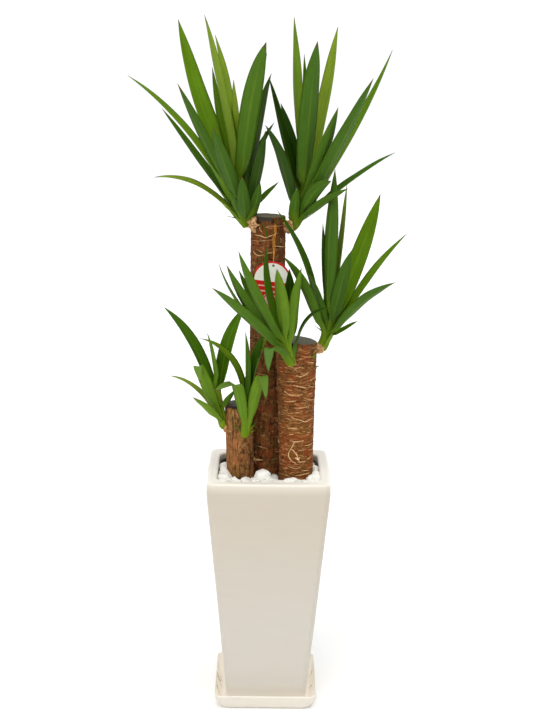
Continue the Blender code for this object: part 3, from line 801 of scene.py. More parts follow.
def growPotFinish():
    f = Finish("grow pot plastic")
    place = f.place()
    dust = f.noise(place, 45.0, 6.0, 0.65).ramp(0.50, 0.75)
    scuffs = f.noise(f.stretch(place, 300.0, 300.0, 30.0), 1.0, 3.0)
    colour = f.blend(dust * 0.08, growPotSet["black"], growPotSet["dust"])
    rough = 0.42 + dust * 0.35 + scuffs * 0.1
    bump = f.bump(scuffs, 0.00015, 0.6)
    return f.set(Base_Color=colour, Roughness=rough, Specular_IOR_Level=0.2, Normal=bump)


def makeGrowPot():
    lowest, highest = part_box("nursery_pot")
    base, top = lowest.z, highest.z
    rim = highest.x
    wall = growPotSet["wall"]
    foot = growPotSet["footWide"] / 2

    def wallHalf(z):
        return mix(foot, rim - 0.0015, (z - base) / (top - base))

    band = top - growPotSet["band"]
    profile = [(0.010, base + 0.0012), (foot - 0.004, base), (foot, base + 0.003)]
    for i in range(1, 15):
        z = mix(base + 0.003, band - 0.001, i / 14)
        profile.append((wallHalf(z) - (0.0005 if i % 4 == 0 else 0), z))
    profile += [(rim - 0.0008, band), (rim, band + 0.001), (rim, top - 0.001), (rim - 0.0005, top - 0.0002)]
    profile += [(rim - 0.0014, top), (rim - 0.0023, top - 0.0003), (rim - 0.0026, top - 0.0012)]
    for i in range(9):
        z = mix(band, base + 0.004, i / 8)
        profile.append((wallHalf(z) - wall, z))
    profile += [(foot - wall - 0.004, base + wall), (0.010, base + wall + 0.0006)]
    shape = Shape()
    for reach, z in profile:
        shape.add(squareRing(reach, min(growPotSet["corner"], reach), z), [])
    shape.faces = ringFaces(len(profile), len(shape.points) // len(profile))
    pot = shape.piece("grow_pot", growPotFinish())
    cutters = []
    for i in range(4):  # drain holes, one towards each corner
        a = pi / 4 + i * pi / 2
        spread = growPotSet["holeSpread"]
        place = Matrix.Translation((spread * cos(a), spread * sin(a), base))
        builder = bmesh.new()
        size = growPotSet["hole"]
        bmesh.ops.create_cone(
            builder, cap_ends=True, segments=24, radius1=size, radius2=size, depth=0.02, matrix=place
        )
        cutters.append(addObject("drain cutter", builtMesh("drain cutter", builder)))
        hole = pot.modifiers.new("drain hole", "BOOLEAN")
        hole.operation = "DIFFERENCE"
        hole.object = cutters[-1]
    graph = bpy.context.evaluated_depsgraph_get()
    pot.data = bpy.data.meshes.new_from_object(pot.evaluated_get(graph))
    pot.modifiers.clear()
    for cutter in cutters:
        bpy.data.objects.remove(cutter)
    pot.data.shade_smooth()
    pot.data.set_sharp_from_angle(angle=radians(40))
    return ridden(pot, "nursery", "nursery_pot")


foamSet = {"light": paint(238, 238, 236), "dark": paint(206, 206, 204)}
soilSet = {"wet": paint(38, 27, 19), "dry": paint(78, 57, 40), "bits": paint(150, 128, 98)}


def finishFoam():
    f = Finish("packing foam")
    place = f.place()
    beads = f.cells(place, 230.0)
    tone = f.noise(place, 30.0)
    colour = f.blend(beads.ramp(0.15, 0.6), foamSet["light"], foamSet["dark"])
    colour = f.shade(colour, (tone - 0.5) * 0.08)
    f.set(Base_Color=colour, Roughness=0.75, Normal=f.bump(1 - beads, 0.0006))
    dress("foam_riser", f.material)


def finishSoil():
    f = Finish("potting soil")
    place = f.place()
    crumbs = f.cells(place, 260.0)
    damp = f.noise(place, 22.0, 6.0)
    colour = f.blend(damp, soilSet["wet"], soilSet["dry"])
    bits = f.noise(place, 420.0, 2.0).ramp(0.66, 0.70)
    colour = f.blend(bits, colour, soilSet["bits"])
    height = (1 - crumbs) * 0.7 + damp * 0.5
    f.set(Base_Color=colour, Roughness=0.93, Specular_IOR_Level=0.2, Normal=f.bump(height, 0.003))
    dress("potting_soil", f.material)


def dress(node, material):
    # a better finish for a CAD node whose shape is right as it is
    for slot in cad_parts[node].material_slots:
        slot.material = material


makePlanter()
makeSaucer()
makeGrowPot()
finishFoam()
finishSoil()
print("holders made")


# canes: each one's foot, sawn top and radii repeat the frame's, and the rest is its bark

caneFoot = 0.492
# rows and columns are the mesh's; pitch and rings are the leaf scars' spacing and how marked they are;
# lip and ragged are how far scars and roughness stand out, and crack is how deep the cracks are
caneSet = {
    "cane_tall": {
        "foot": (-0.007, 0.040), "top": (-0.008, 0.040, 1.2325), "radii": (0.0435, 0.0430), "slant": -0.03,
        "rows": 370, "columns": 150, "pitch": 0.0165, "rings": 0.10,
        "lip": 0.0012, "ragged": 0.0008, "crack": 0.75,
        "grain": (105, 105, 60), "flecks": (85, 85, 300), "flecked": 0.40,
        "dark": paint(48, 27, 11), "mid": paint(126, 80, 40), "light": paint(206, 152, 98),
        "red": paint(138, 68, 36), "moss": paint(104, 90, 36), "mossy": 0.30,
        "sealed": 0.011, "sealSide": -0.9, "seal": paint(56, 56, 50), "wood": paint(118, 112, 90),
        "frayed": 46, "fray": (0.0003, 0.0008),
        # pale fibres lying on the bark: half thickness, then the angle and height of points along each
        "fibres": [
            (0.0012, (-138, 1.1870), (-115, 1.1853), (-99, 1.1817), (-86, 1.1851), (-61, 1.1914)),
            (0.0006, (-152, 1.1718), (-125, 1.1722), (-99, 1.1744), (-73, 1.1766)),
            (0.0011, (-146, 1.1452), (-133, 1.1395), (-117, 1.1369), (-104, 1.1400)),
            (0.0007, (-130, 1.1519), (-119, 1.1488), (-108, 1.1447)),
            (0.0013, (-70, 1.1612), (-46, 1.1588), (-22, 1.1566)),
            (0.0009, (-92, 1.1440), (-80, 1.1448), (-70, 1.1459)),
            (0.0008, (-92, 1.2098), (-76, 1.2096), (-52, 1.2092), (-40, 1.2098)),
            (0.0007, (-46, 1.1800), (-43, 1.1730), (-45, 1.1680)),
            (0.0008, (-120, 1.2060), (-116, 1.1990), (-110, 1.1950)),
            (0.0006, (-51, 0.7805), (-33, 0.7785)), (0.0006, (-62, 0.7298), (-43, 0.7284)),
            (0.0005, (-108, 0.6838), (-92, 0.6855)), (0.0005, (-125, 0.8440), (-104, 0.8405), (-92, 0.8425)),
        ],
    },
    "cane_medium": {
        "foot": (0.069, -0.030), "top": (0.064, -0.030, 0.9375), "radii": (0.0415, 0.0515), "slant": -0.10,
        "rows": 290, "columns": 160, "pitch": 0.0085, "rings": 0.22,
        "lip": 0.0013, "ragged": 0.0011, "crack": 0.20,
        "grain": (75, 75, 200), "flecks": (60, 60, 380), "flecked": 0.72,
        "dark": paint(50, 26, 10), "mid": paint(134, 84, 40), "light": paint(218, 162, 104),
        "red": paint(138, 66, 32), "moss": paint(118, 92, 36), "mossy": 0.20,
        "sealed": 0.003, "sealSide": 0.0, "seal": paint(84, 68, 52), "wood": paint(128, 124, 110),
        "frayed": 120, "fray": (0.0003, 0.0010),
        "fibres": [
            (0.0010, (-91, 0.8574), (-79, 0.8548), (-66, 0.8580), (-52, 0.8632)),
            (0.0008, (-122, 0.8406), (-104, 0.8420), (-87, 0.8426)),
            (0.0013, (-100, 0.8333), (-81, 0.8296), (-62, 0.8252)),
            (0.0012, (-128, 0.8161), (-109, 0.8071), (-91, 0.8074), (-71, 0.8095)),
            (0.0010, (-129, 0.7905), (-110, 0.7915), (-92, 0.7934)),
            (0.0009, (-66, 0.7997), (-47, 0.7942), (-26, 0.7912)),
            (0.0008, (-98, 0.7756), (-71, 0.7752), (-50, 0.7789)),
            (0.0010, (-107, 0.7537), (-100, 0.7495), (-79, 0.7452), (-62, 0.7395), (-44, 0.7420),
             (-26, 0.7440)),
            (0.0014, (-116, 0.7236), (-102, 0.7238), (-88, 0.7249)), (0.0008, (-115, 0.7071), (-98, 0.7084)),
            (0.0015, (-111, 0.6921), (-96, 0.6898), (-80, 0.6902), (-66, 0.6914)),
            (0.0013, (-92, 0.6020), (-66, 0.6046), (-41, 0.6050)),
            (0.0009, (-60, 0.6790), (-44, 0.6776), (-28, 0.6800)), (0.0008, (-84, 0.6676), (-60, 0.6680)),
            (0.0009, (-118, 0.6260), (-96, 0.6212), (-74, 0.6230)), (0.0009, (-70, 0.6150), (-42, 0.6120)),
            (0.0008, (-112, 0.8790), (-92, 0.8760), (-72, 0.8786)), (0.0009, (-60, 0.8900), (-34, 0.8850)),
            (0.0008, (-70, 0.9040), (-44, 0.9010)), (0.0008, (-48, 0.8420), (-26, 0.8460)),
        ],
    },
    "cane_short": {
        "foot": (-0.068, -0.018), "top": (-0.0765, -0.016, 0.772), "radii": (0.0340, 0.0345), "slant": 0.0,
        "rows": 150, "columns": 130, "pitch": 0.0260, "rings": -0.10,
        "lip": 0.0008, "ragged": 0.0008, "crack": 1.5,
        "grain": (85, 85, 70), "flecks": (110, 110, 120), "flecked": 0.40,
        "dark": paint(66, 40, 20), "mid": paint(166, 116, 66), "light": paint(206, 154, 98),
        "red": paint(166, 104, 62), "moss": paint(140, 118, 56), "mossy": 0.25,
        "sealed": 0.007, "sealSide": 0.0, "seal": paint(30, 26, 34), "wood": paint(112, 106, 98),
        "frayed": 6, "fray": (0.0003, 0.0006),
        "fibres": [(0.0010, (-99, 0.7560), (-95, 0.7500), (-96, 0.7440))],
    },
}
barkStart = 0.562  # below this the bark is in the soil
barkSet = {
    "edge": 0.0035,  # the saw cut's edge is a little broken
    "sawRings": (0.0006, 0.0018, 0.0036, 0.0075, 0.013, 0.019, 0.025, 0.031, 0.036, 0.041),  # from the edge in
    "strandDark": paint(198, 142, 90),
    "strandLight": paint(242, 204, 150),
}
# dried aerial roots: half thickness at its start and end, then points as for the fibres
rootSet = {
    "cane_medium": [
        (0.0009, 0.0013, (-90, 0.6905), (-96, 0.6880), (-101, 0.6803), (-108, 0.6700)),
        (0.0012, 0.0012, (-108, 0.6700), (-115, 0.6589), (-115, 0.6500), (-103, 0.6394), (-99, 0.6370)),
        (0.0013, 0.0016, (-109, 0.6692), (-103, 0.6690), (-96, 0.6638), (-87, 0.6540), (-86, 0.6470)),
        (0.0036, 0.0020, (-93, 0.6484), (-86, 0.6462), (-80, 0.6420)),
        (0.0026, 0.0010, (-88, 0.6440), (-78, 0.6500)),
        (0.0016, 0.0007, (-86, 0.6384), (-72, 0.6374), (-60, 0.6386)),
        (0.0014, 0.0008, (-99, 0.6372), (-90, 0.6340)),
    ],
    "cane_tall": [
        (0.0056, 0.0044, (-142, 0.6180), (-133, 0.6185), (-124, 0.6190)),
        (0.0036, 0.0012, (-131, 0.6188), (-115, 0.6200), (-99, 0.6212)),
        (0.0024, 0.0010, (-138, 0.6190), (-131, 0.6265)), (0.0022, 0.0010, (-134, 0.6170), (-124, 0.6110)),
    ],
}


def caneAt(cane, z):
    # middle of a cane and its radius at a height
    top = Vector(cane["top"])
    share = (z - caneFoot) / (top.z - caneFoot)
    middle = Vector((*cane["foot"], caneFoot)).lerp(top, share)
    return middle, mix(*cane["radii"], max(share, 0.0) ** 2)


def barkRelief(cane, angle, z, seed):
    # how far the bark stands out, how much of it is a torn scar lip, and how deep a crack runs there
    x, y = cos(angle), sin(angle)
    wander = noise.noise(Vector((x * 0.9 + seed, y * 0.9, z * 6))) * 0.60
    wander += noise.noise(Vector((x * 3.1, y * 3.1 + seed, z * 15))) * 0.24
    wander += noise.noise(Vector((x * 9, y * 9, z * 40 + seed))) * 0.09
    phase = z / cane["pitch"] + wander
    ring = floor(phase)
    part = phase - ring
    strength = clamp(cane["rings"] + 1.5 * noise.noise(Vector((x * 3.0, y * 3.0 + seed, ring * 1.73))), 0, 1.2)
    lip = ease(0.25, 0.86, part) * (1 - ease(0.90, 1.0, part)) * strength
    split = abs(noise.noise(Vector((x * 5.5, y * 5.5 + seed, z * 9))))
    fine = abs(noise.noise(Vector((x * 15, y * 15, z * 30 + seed))))
    across = abs(noise.noise(Vector((x * 4 + seed, y * 4, z * 42))))
    crack = max(
        1 - ease(0.01, 0.09, split),
        0.6 - 0.6 * ease(0.0, 0.10, fine),
        0.7 - 0.7 * ease(0.0, 0.07, across),
    )
    rough = noise.fractal(Vector((x * 14, y * 14 + seed, z * 190)), 1.0, 2.1, 3)
    knobs = noise.noise(Vector((x * 30, y * 30, z * 60 + seed)))
    out = cane["lip"] * lip + cane["ragged"] * (rough * 0.7 + knobs * 0.7)
    out -= cane["crack"] * crack * 0.0012
    return out, clamp(lip * 1.1 - crack * 0.5), crack


def barkFinish(name, cane):
    f = Finish(name)
    place = f.place()
    lip = f.value("lip")
    crack = f.value("crack")
    sawn = f.value("sawn")
    strand = f.value("strand")
    top = cane["top"][2]
    x, _, z = f.split(place)
    cloud = f.noise(place, 42.0, 5.0, 0.6)
    blotch = f.noise(f.stretch(place, *cane["grain"]), 1.0, 6.0, 0.68, 0.5)
    threads = f.noise(f.stretch(place, 520.0, 520.0, 60.0), 1.0, 4.0, 0.6, 0.4)
    ground = blotch * 0.75 + threads * 0.25
    colour = f.blend(ground.ramp(0.38, 0.57), cane["dark"], cane["mid"])
    colour = f.blend(cloud.ramp(0.44, 0.62) * 0.75, colour, f.shade(cane["red"], ground * 1.6 - 0.75))
    moss = f.noise(place, 16.0, 4.0).ramp(0.48, 0.62) * cane["mossy"]
    colour = f.blend(moss, colour, cane["moss"])
    flecks = f.noise(f.stretch(place, *cane["flecks"]), 1.0, 4.0, 0.6, 0.3).ramp(0.555, 0.66)
    colour = f.blend((flecks * cane["flecked"]).most(lip * 0.75 * flecks.most(0.35)), colour, cane["light"])
    # cracks and the low bark between scar lips darkened: the cracks partly by the bark's own dark inner layer,
    # and painted shade in both
    cracked = crack * 0.9 * min(cane["crack"], 1.0)
    hollow = (1 - lip.ramp(0.0, 0.12)) * blotch.ramp(0.50, 0.62) * 0.4
    colour = f.blend(cracked.most(hollow), colour, cane["dark"])
    mottle = f.noise(place, 210.0).ramp(0.35, 0.65)
    fibre = f.blend(mottle, barkSet["strandDark"], barkSet["strandLight"])
    colour = f.blend(strand, colour, fibre)
    side = 1 + (x - cane["top"][0]) * (cane["sealSide"] / cane["radii"][1])
    patchy = (f.noise(place, 30.0, 4.0) * side).ramp(0.30, 0.52)
    sealed = z.ramp(top - cane["sealed"] - 0.004, top - cane["sealed"] + 0.002)
    colour = f.blend(sealed * patchy * (1 - strand) * 0.92, colour, cane["seal"])
    grain = f.noise(f.stretch(place, 230.0, 230.0, 40.0), 1.0, 4.0, 0.65)
    wood = f.blend(grain.ramp(0.30, 0.70), f.shade(cane["wood"], cloud * 0.5 - 0.45), cane["wood"])
    colour = f.blend(sawn, colour, wood)
    rough = 0.80 + cloud * 0.14
    height = threads * 0.35 + blotch * 0.9 + lip * 0.3
    bump = f.bump(height, 0.0016)
    return f.set(Base_Color=colour, Roughness=rough, Specular_IOR_Level=0.12, Normal=bump)


def barkShape(cane, seed):
    shape = Shape("lip", "crack", "sawn", "strand")
    columns, rows = cane["columns"], cane["rows"]
    top = cane["top"][2]
    edge = barkSet["edge"]
    levels = [caneFoot, mix(caneFoot, barkStart, 0.5)]
    levels += [mix(barkStart, top - edge, i / (rows - 1)) for i in range(rows)]
    for z in levels:
        middle, radius = caneAt(cane, z)
        points, lips, cracks = [], [], []
        for a in anglesRound(columns):
            out, lip, crack = barkRelief(cane, a, z, seed)
            out -= 0.0004
            if z > top - 0.012:
                out -= 0.0006 * ease(top - 0.012, top - edge, z)
            lean = cane["slant"] * cos(a) * radius * ease(top - 0.040, top, z)  # the cut is not quite level
            points.append(middle + Vector((cos(a), sin(a), 0)) * (radius + out) + Vector((0, 0, lean)))
            lips.append(lip)
            cracks.append(crack)
        shape.add(points, [], lip=lips, crack=cracks, sawn=0.0, strand=0.0)
    middle, radius = caneAt(cane, top)
    for i, inset in enumerate(barkSet["sawRings"]):
        reach = max(radius - inset, 0.0015)
        lift = (-0.0022, -0.0009, -0.0002)[i] if i < 3 else 0.0
        points = []
        for a in anglesRound(columns):
            chip = noise.noise(Vector((cos(a) * 7, sin(a) * 7 + seed, 5.0)))
            wave = noise.noise(Vector((cos(a) * reach * 60, sin(a) * reach * 60, seed)))
            drop = lift + min(chip, 0) * 0.0030 * (1 - ease(0, 3, i)) + wave * 0.0005 - 0.0008
            drop += cane["slant"] * cos(a) * reach
            points.append(middle + Vector((cos(a) * reach, sin(a) * reach, drop)))
        shape.add(points, [], lip=0.2, crack=0.0, sawn=ease(0.3, 2.5, i), strand=0.0)
    shape.faces = cappedFaces(len(levels) + len(barkSet["sawRings"]), columns)
    return shape


def addFibre(shape, cane, seed, spots, thick, tone, lifts=(0.0, 0.0)):
    # a fibre or root along spots on the bark; thick is half its thickness at its start and at its end
    radius = caneAt(cane, spots[0][1])[1]
    route = smoothRoute([Vector((radians(a) * radius, z, 0)) for a, z in spots], 0.0018)
    path, radii = [], []
    for i, spot in enumerate(route):
        t = i / (len(route) - 1)
        a, z = spot.x / radius, spot.y
        middle, reach = caneAt(cane, z)
        half = mix(*thick, t) * (0.45 + 0.65 * sin(pi * clamp(t, 0.05, 0.95)) ** 0.6)
        half *= 1 + 0.3 * noise.noise(Vector((a * 40, z * 400, seed)))
        out = reach + max(barkRelief(cane, a, z, seed)[0], -0.0003) + half * 0.35
        out += lifts[0] * (1 - t) ** 4 + lifts[1] * t ** 4
        path.append(middle + Vector((cos(a) * out, sin(a) * out, 0)))
        radii.append(half)
    points, faces = tubeShape(path, radii)
    shape.add(points, faces, lip=1.0, crack=0.0, sawn=0.0, strand=tone)


def addStrands(shape, cane, seed):
    # fibres torn loose from the bark, some lying flat and some lifting at an end
    rng = Random(seed)
    for thick, *spots in cane["fibres"]:
        addFibre(shape, cane, seed, spots, (thick, thick), rng.uniform(0.85, 1.0))
    low, high = barkStart + 0.03, cane["top"][2] - 0.014
    for _ in range(cane["frayed"]):
        start = rng.uniform(0, 360)
        z = rng.uniform(low, high)
        radius = caneAt(cane, z)[1]
        span = degrees(rng.uniform(0.007, 0.028) / radius)
        slant, sag = rng.gauss(0, 0.0030), rng.uniform(-0.0035, 0.0012)
        spots = [(start, z), (start + span * 0.3, z + sag * 0.8 + slant * 0.3)]
        spots += [(start + span * 0.7, z + sag * 0.9 + slant * 0.7), (start + span, z + slant)]
        half = mix(*cane["fray"], rng.random() ** 2)
        lifts = (rng.random() ** 3 * 0.004, rng.random() ** 3 * 0.004)
        addFibre(shape, cane, seed, spots, (half, half), rng.uniform(0.35, 0.95), lifts)


def addRoots(shape, cane, rows, seed):
    for start, end, *spots in rows:
        addFibre(shape, cane, seed, spots, (start, end), 1.0, (0.001, 0.002))


def addCallus(shape, middle, outwards, size, deep, seed):
    # the knobbly star of bark that a shoot breaks out of; deep is how far it stands out for its size
    outwards = outwards.normalized()
    side = Vector((0, 0, 1)).cross(outwards).normalized()
    up = outwards.cross(side)
    rows, columns = 20, 36
    points, lips = [], []
    for i in range(rows):
        b = pi * i / (rows - 1)
        for a in anglesRound(columns):
            star = 1 - abs(sin(a * 2.5 + seed + 0.8 * sin(a * 2 + seed))) ** 0.7
            spot = Vector((cos(a) * sin(b) * 2.6, sin(a) * sin(b) * 2.6 + seed, cos(b) * 2))
            knobs = noise.fractal(spot, 1, 2, 4)
            reach = 0.74 + 0.62 * star * sin(b) + 0.30 * knobs
            way = outwards * cos(b) * deep + (side * cos(a) + up * sin(a) * 1.1) * sin(b)
            points.append(middle + way * reach * size)
            lips.append(clamp(0.32 + star * 0.6 + knobs * 1.2))
    # painted shade: the callus's low parts between its knobs darkened through the crack value
    cracks = [0.5 - 0.5 * lip for lip in lips]
    strands = [min(0.30 + 0.7 * lip, 1.0) for lip in lips]
    shape.add(points, gridFaces(rows, columns), lip=lips, crack=cracks, sawn=0.0, strand=strands)


# shoots: where each leaves its cane, how its stem bends and where it ends, then its blades

stemSet = {
    "radius": 0.0115,
    "taper": 0.0045,
    "setsOff": 0.007,  # how far below its bend a stem leaves the bark
    "spurWide": 0.0085,
}
bladeSet = {
    "wide": 0.0211,  # full width is this and the next one for each metre of length
    "widens": 0.0605,
    "widest": 0.42,  # share of the length where it is reached
    "tip": 0.0005,
    "vee": 0.20,
    "cupped": 0.50,  # how much more hollow a blade is at its foot
    "gap": 0.002,
    "foldSpan": 0.07,
    "steps": 36,
    "foldSteps": 54,
    "columns": 9,
    "sheathRows": 6,
    "sheath": 0.038,  # length of the part that clasps the stem
    "sheathThick": 0.0007,
    "clasp": (1.65, 1.25),  # how far round the stem it reaches, in radians, at its start and end
    "innerClasp": (1.0, 0.9),
    "innerFrom": 0.13,  # young blades above this share of the stem grow inside the others
    "leaves": 0.055,  # length over which a blade comes off the stem
    "thick": 0.0011,
}
tones = {"deep": 0.0, "mid": 0.34, "fresh": 0.68, "pale": 1.0}


def blade(
    height, heading, lean, droop, length, tone,
    roll=0, fold=0, foldAt=0.7, young=False, foot=None, turned=0.35,
):
    # height is where it leaves the stem, 0 to 1; heading is the way its tip points, 0 for +X;
    # lean is its angle from upright at its foot, and droop what it gains by its tip;
    # foot is its width there as a share of its full width; turned is where its roll is complete
    return {
        "height": height, "heading": heading, "lean": lean, "droop": droop, "length": length,
        "tone": tones[tone], "roll": roll, "fold": fold, "foldAt": foldAt, "young": young,
        "foot": foot or mix(0.46, 0.66, clamp((length - 0.20) / 0.16)), "turned": turned,
    }


def cuff(height, heading, lean, droop, length, tone):
    # a short old leaf that clasps the shoot's foot, broad right down to it
    return blade(height, heading, lean, droop, length, tone, young=True, foot=0.95)


def spur(height, heading, lean, length, tone="mid"):
    # a short stray leaf at a shoot's foot
    return {"height": height, "heading": heading, "lean": lean, "length": length, "tone": tones[tone]}


# slim is how slender a stem is at its foot and out how far it stands off the bark; callus is the size of
# the bark's knob there, how deep it is for its size, its turn in degrees and its lift
shootSet = {
    "tall_left": {
        "cane": "cane_tall", "bend": (-0.064, 0.036, 1.213), "tip": (-0.081, 0.030, 1.312),
        "slim": 0.78, "out": 0.0075, "callus": (0.0165, 0.50, 35, 0.006),
        "blades": [
            blade(0.19, 185, 39, 59, 0.250, "pale", roll=-15),
            blade(0.36, 155, 40, 1, 0.340, "mid"),
            blade(0.43, -40, 16, -5, 0.215, "deep", roll=-10),
            blade(0.46, 190, 28, 28, 0.430, "fresh", roll=-20),
            blade(0.15, -95, 49, -22, 0.165, "mid", roll=5),
            blade(0.51, 10, 45, -1, 0.105, "mid", roll=15),
            blade(0.56, 250, 44, -5, 0.280, "mid"),
            blade(0.56, 40, 7, 37, 0.230, "deep", roll=-5),
            blade(0.61, 215, 32, -4, 0.345, "mid", roll=10),
            blade(0.64, -30, 6, 14, 0.325, "deep", roll=-15),
            blade(0.69, 60, 16, 2, 0.375, "mid", roll=-35, young=True),
            blade(0.74, 130, 36, -15, 0.500, "fresh", roll=-5),
            blade(0.83, 110, 20, 21, 0.435, "pale", roll=40, young=True),
            blade(0.88, 150, 21, -15, 0.305, "fresh", young=True),
            blade(0.92, 185, 10, 4, 0.415, "pale", roll=25, young=True),
            blade(0.92, -75, 19, 37, 0.420, "mid", roll=-15),
            blade(0.97, 75, -6, -15, 0.255, "pale", roll=-40, young=True),
            cuff(0.12, 5, 22, -12, 0.062, "deep"), cuff(0.09, -62, 32, -14, 0.122, "mid"),
            cuff(0.11, 232, 36, -8, 0.105, "mid"), cuff(0.06, 200, 44, -8, 0.070, "fresh"),
        ],
        "spurs": [spur(0.25, 203, 60, 0.048, "deep"), spur(0.14, 212, 60, 0.024), spur(0.2, -20, 30, 0.030)],
    },
    "tall_right": {
        "cane": "cane_tall", "bend": (0.073, 0.036, 1.210), "tip": (0.077, 0.040, 1.303),
        "slim": 0.78, "out": 0.0080, "callus": (0.0145, 1.05, -16, 0.004),
        "blades": [
            blade(0.22, -40, 50, 17, 0.180, "mid", roll=-20),
            blade(0.28, 10, 48, 15, 0.290, "mid", roll=5),
            blade(0.35, -60, 33, 49, 0.185, "mid", roll=-45),
            blade(0.41, 230, 14, 31, 0.260, "deep"),
            blade(0.47, -50, 36, -2, 0.410, "mid"),
            blade(0.53, 20, 35, -13, 0.455, "fresh", roll=-5),
            blade(0.60, -60, 32, -4, 0.295, "mid"),
            blade(0.66, 50, 17, -3, 0.450, "pale", roll=-10),
            blade(0.72, 165, 15, 1, 0.315, "deep", roll=-15, young=True),
            blade(0.78, 125, 17, 12, 0.250, "deep", young=True),
            blade(0.84, -85, 19, 33, 0.440, "mid", roll=15),
            blade(0.91, 95, 6, -5, 0.330, "mid", roll=60, young=True),
            blade(0.97, 175, 5, -3, 0.405, "fresh", roll=35, young=True),
            cuff(0.26, 185, -6, 2, 0.078, "deep"), cuff(0.11, -80, 26, 2, 0.110, "mid"),
            cuff(0.08, -5, 40, -6, 0.085, "mid"),
        ],
        "spurs": [spur(0.28, -20, 56, 0.050), spur(0.12, -30, 60, 0.018), spur(0.22, 200, 12, 0.024, "deep")],
    },
    "medium_front": {
        "cane": "cane_medium", "bend": (0.048, -0.096, 0.898), "tip": (0.034, -0.108, 0.955),
        "slim": 0.80, "out": 0.0015, "callus": (0.009, 0.62, 0, 0.0),
        "blades": [
            blade(0.26, -17, -1, 84, 0.175, "deep", roll=15),
            blade(0.30, 168, 44, 12, 0.245, "fresh", roll=40, young=True),
            blade(0.24, 245, 53, 47, 0.180, "mid", roll=10, fold=65, foldAt=0.67),
            blade(0.47, 215, 44, 11, 0.280, "mid", roll=25),
            blade(0.55, -40, 0, 16, 0.215, "fresh", roll=-10),
            blade(0.57, 190, 40, -18, 0.260, "mid", roll=40),
            blade(0.72, 225, 37, -14, 0.295, "mid", roll=5),
            blade(0.80, 170, 41, -21, 0.215, "mid", roll=-25, young=True),
            blade(0.62, 182, 51, -34, 0.275, "mid", roll=2, young=True),
            blade(0.80, -110, 12, 17, 0.210, "fresh", roll=5),
            blade(0.89, 60, 13, -25, 0.180, "deep", roll=15, young=True),
            blade(0.96, 160, 26, -35, 0.230, "mid", roll=-10, young=True),
            cuff(0.11, 205, 34, -6, 0.080, "fresh"), cuff(0.14, -50, 16, -4, 0.048, "mid"),
        ],
        "spurs": [spur(0.18, 200, 50, 0.016, "deep")],
    },
    "medium_right": {
        "cane": "cane_medium", "bend": (0.136, -0.026, 0.922), "tip": (0.144, -0.030, 0.991),
        "slim": 0.66, "out": 0.0065, "callus": (0.0115, 1.25, -14, 0.001),
        "blades": [
            blade(0.52, -30, 60, -6, 0.098, "mid", roll=25, young=True),
            blade(0.33, 20, 31, 17, 0.335, "fresh"),
            blade(0.41, -50, 40, 29, 0.290, "mid", roll=-20, foot=0.22, turned=0.9),
            blade(0.49, 215, 16, 33, 0.250, "mid", roll=15),
            blade(0.58, 170, 9, 29, 0.330, "mid", roll=-10),
            blade(0.65, 235, 18, 23, 0.180, "mid", roll=-20, young=True),
            blade(0.66, -50, 14, 10, 0.225, "mid", roll=-40),
            blade(0.73, 50, 34, -6, 0.375, "fresh", roll=35),
            blade(0.88, -100, 6, -40, 0.385, "mid", roll=-35),
            blade(0.89, 130, 11, -12, 0.245, "mid", roll=25, young=True),
            blade(0.96, 20, 9, -7, 0.330, "pale", roll=-5, young=True),
            cuff(0.12, -30, 32, -8, 0.056, "fresh"),
        ],
        "spurs": [spur(0.66, 194, 40, 0.033, "deep"), spur(0.16, -40, 55, 0.016)],
    },
    "short_left": {
        "cane": "cane_short", "bend": (-0.114, -0.020, 0.716), "tip": (-0.128, -0.025, 0.801),
        "slim": 0.72, "out": 0.0015, "callus": (0.010, 0.62, 0, 0.0),
        "blades": [
            blade(0.19, 230, 45, 12, 0.145, "fresh", roll=15, young=True),
            blade(0.35, 170, 25, 59, 0.175, "pale"),
            blade(0.48, 228, 26, 0, 0.210, "fresh", roll=28, fold=150, foldAt=0.79),
            blade(0.62, -48, 32, 6, 0.080, "mid", young=True),
            blade(0.73, 145, 19, 43, 0.295, "mid", roll=-6),
            blade(0.84, 45, 1, 48, 0.250, "mid", roll=20, young=True),
            blade(0.97, 185, 5, 10, 0.155, "fresh", roll=20, young=True),
        ],
        "spurs": [spur(0.20, 205, 45, 0.020, "fresh")],
    },
    "short_front": {
        "cane": "cane_short", "bend": (-0.055, -0.062, 0.708), "tip": (-0.056, -0.071, 0.772),
        "slim": 0.78, "out": 0.0015, "callus": (0.008, 0.62, 0, 0.0),
        "blades": [
            blade(0.20, -54, 13, 24, 0.232, "fresh", roll=-8, fold=125, foldAt=0.73),
            blade(0.33, 249, 15, 34, 0.245, "fresh", roll=-10, fold=50, foldAt=0.58),
            blade(0.56, 12, 3, 29, 0.265, "fresh", young=True),
            blade(0.75, 163, -6, 91, 0.250, "fresh", roll=-5),
            blade(0.94, 45, 4, 33, 0.200, "mid", roll=-5, young=True),
            blade(0.96, 180, -3, 9, 0.195, "mid", roll=25, young=True),
        ],
        "spurs": [
            spur(0.24, 200, 48, 0.034, "mid"), spur(0.30, -20, 40, 0.032, "fresh"),
            spur(0.36, 10, 30, 0.040, "mid"), spur(0.14, -10, 60, 0.020, "pale"),
        ],
    },
}


def stemStart(shoot):
    bend = Vector(shoot["bend"])
    middle, radius = caneAt(caneSet[shoot["cane"]], bend.z - stemSet["setsOff"])
    outwards = bend - middle
    outwards.z = 0
    return middle + outwards.normalized() * (radius + shoot["out"])


def stemPoint(shoot, share):
    start, bend, tip = stemStart(shoot), Vector(shoot["bend"]), Vector(shoot["tip"])
    return start * (1 - share) ** 2 + bend * 2 * share * (1 - share) + tip * share ** 2


def stemWay(shoot, share):
    return (stemPoint(shoot, share + 0.01) - stemPoint(shoot, share - 0.01)).normalized()


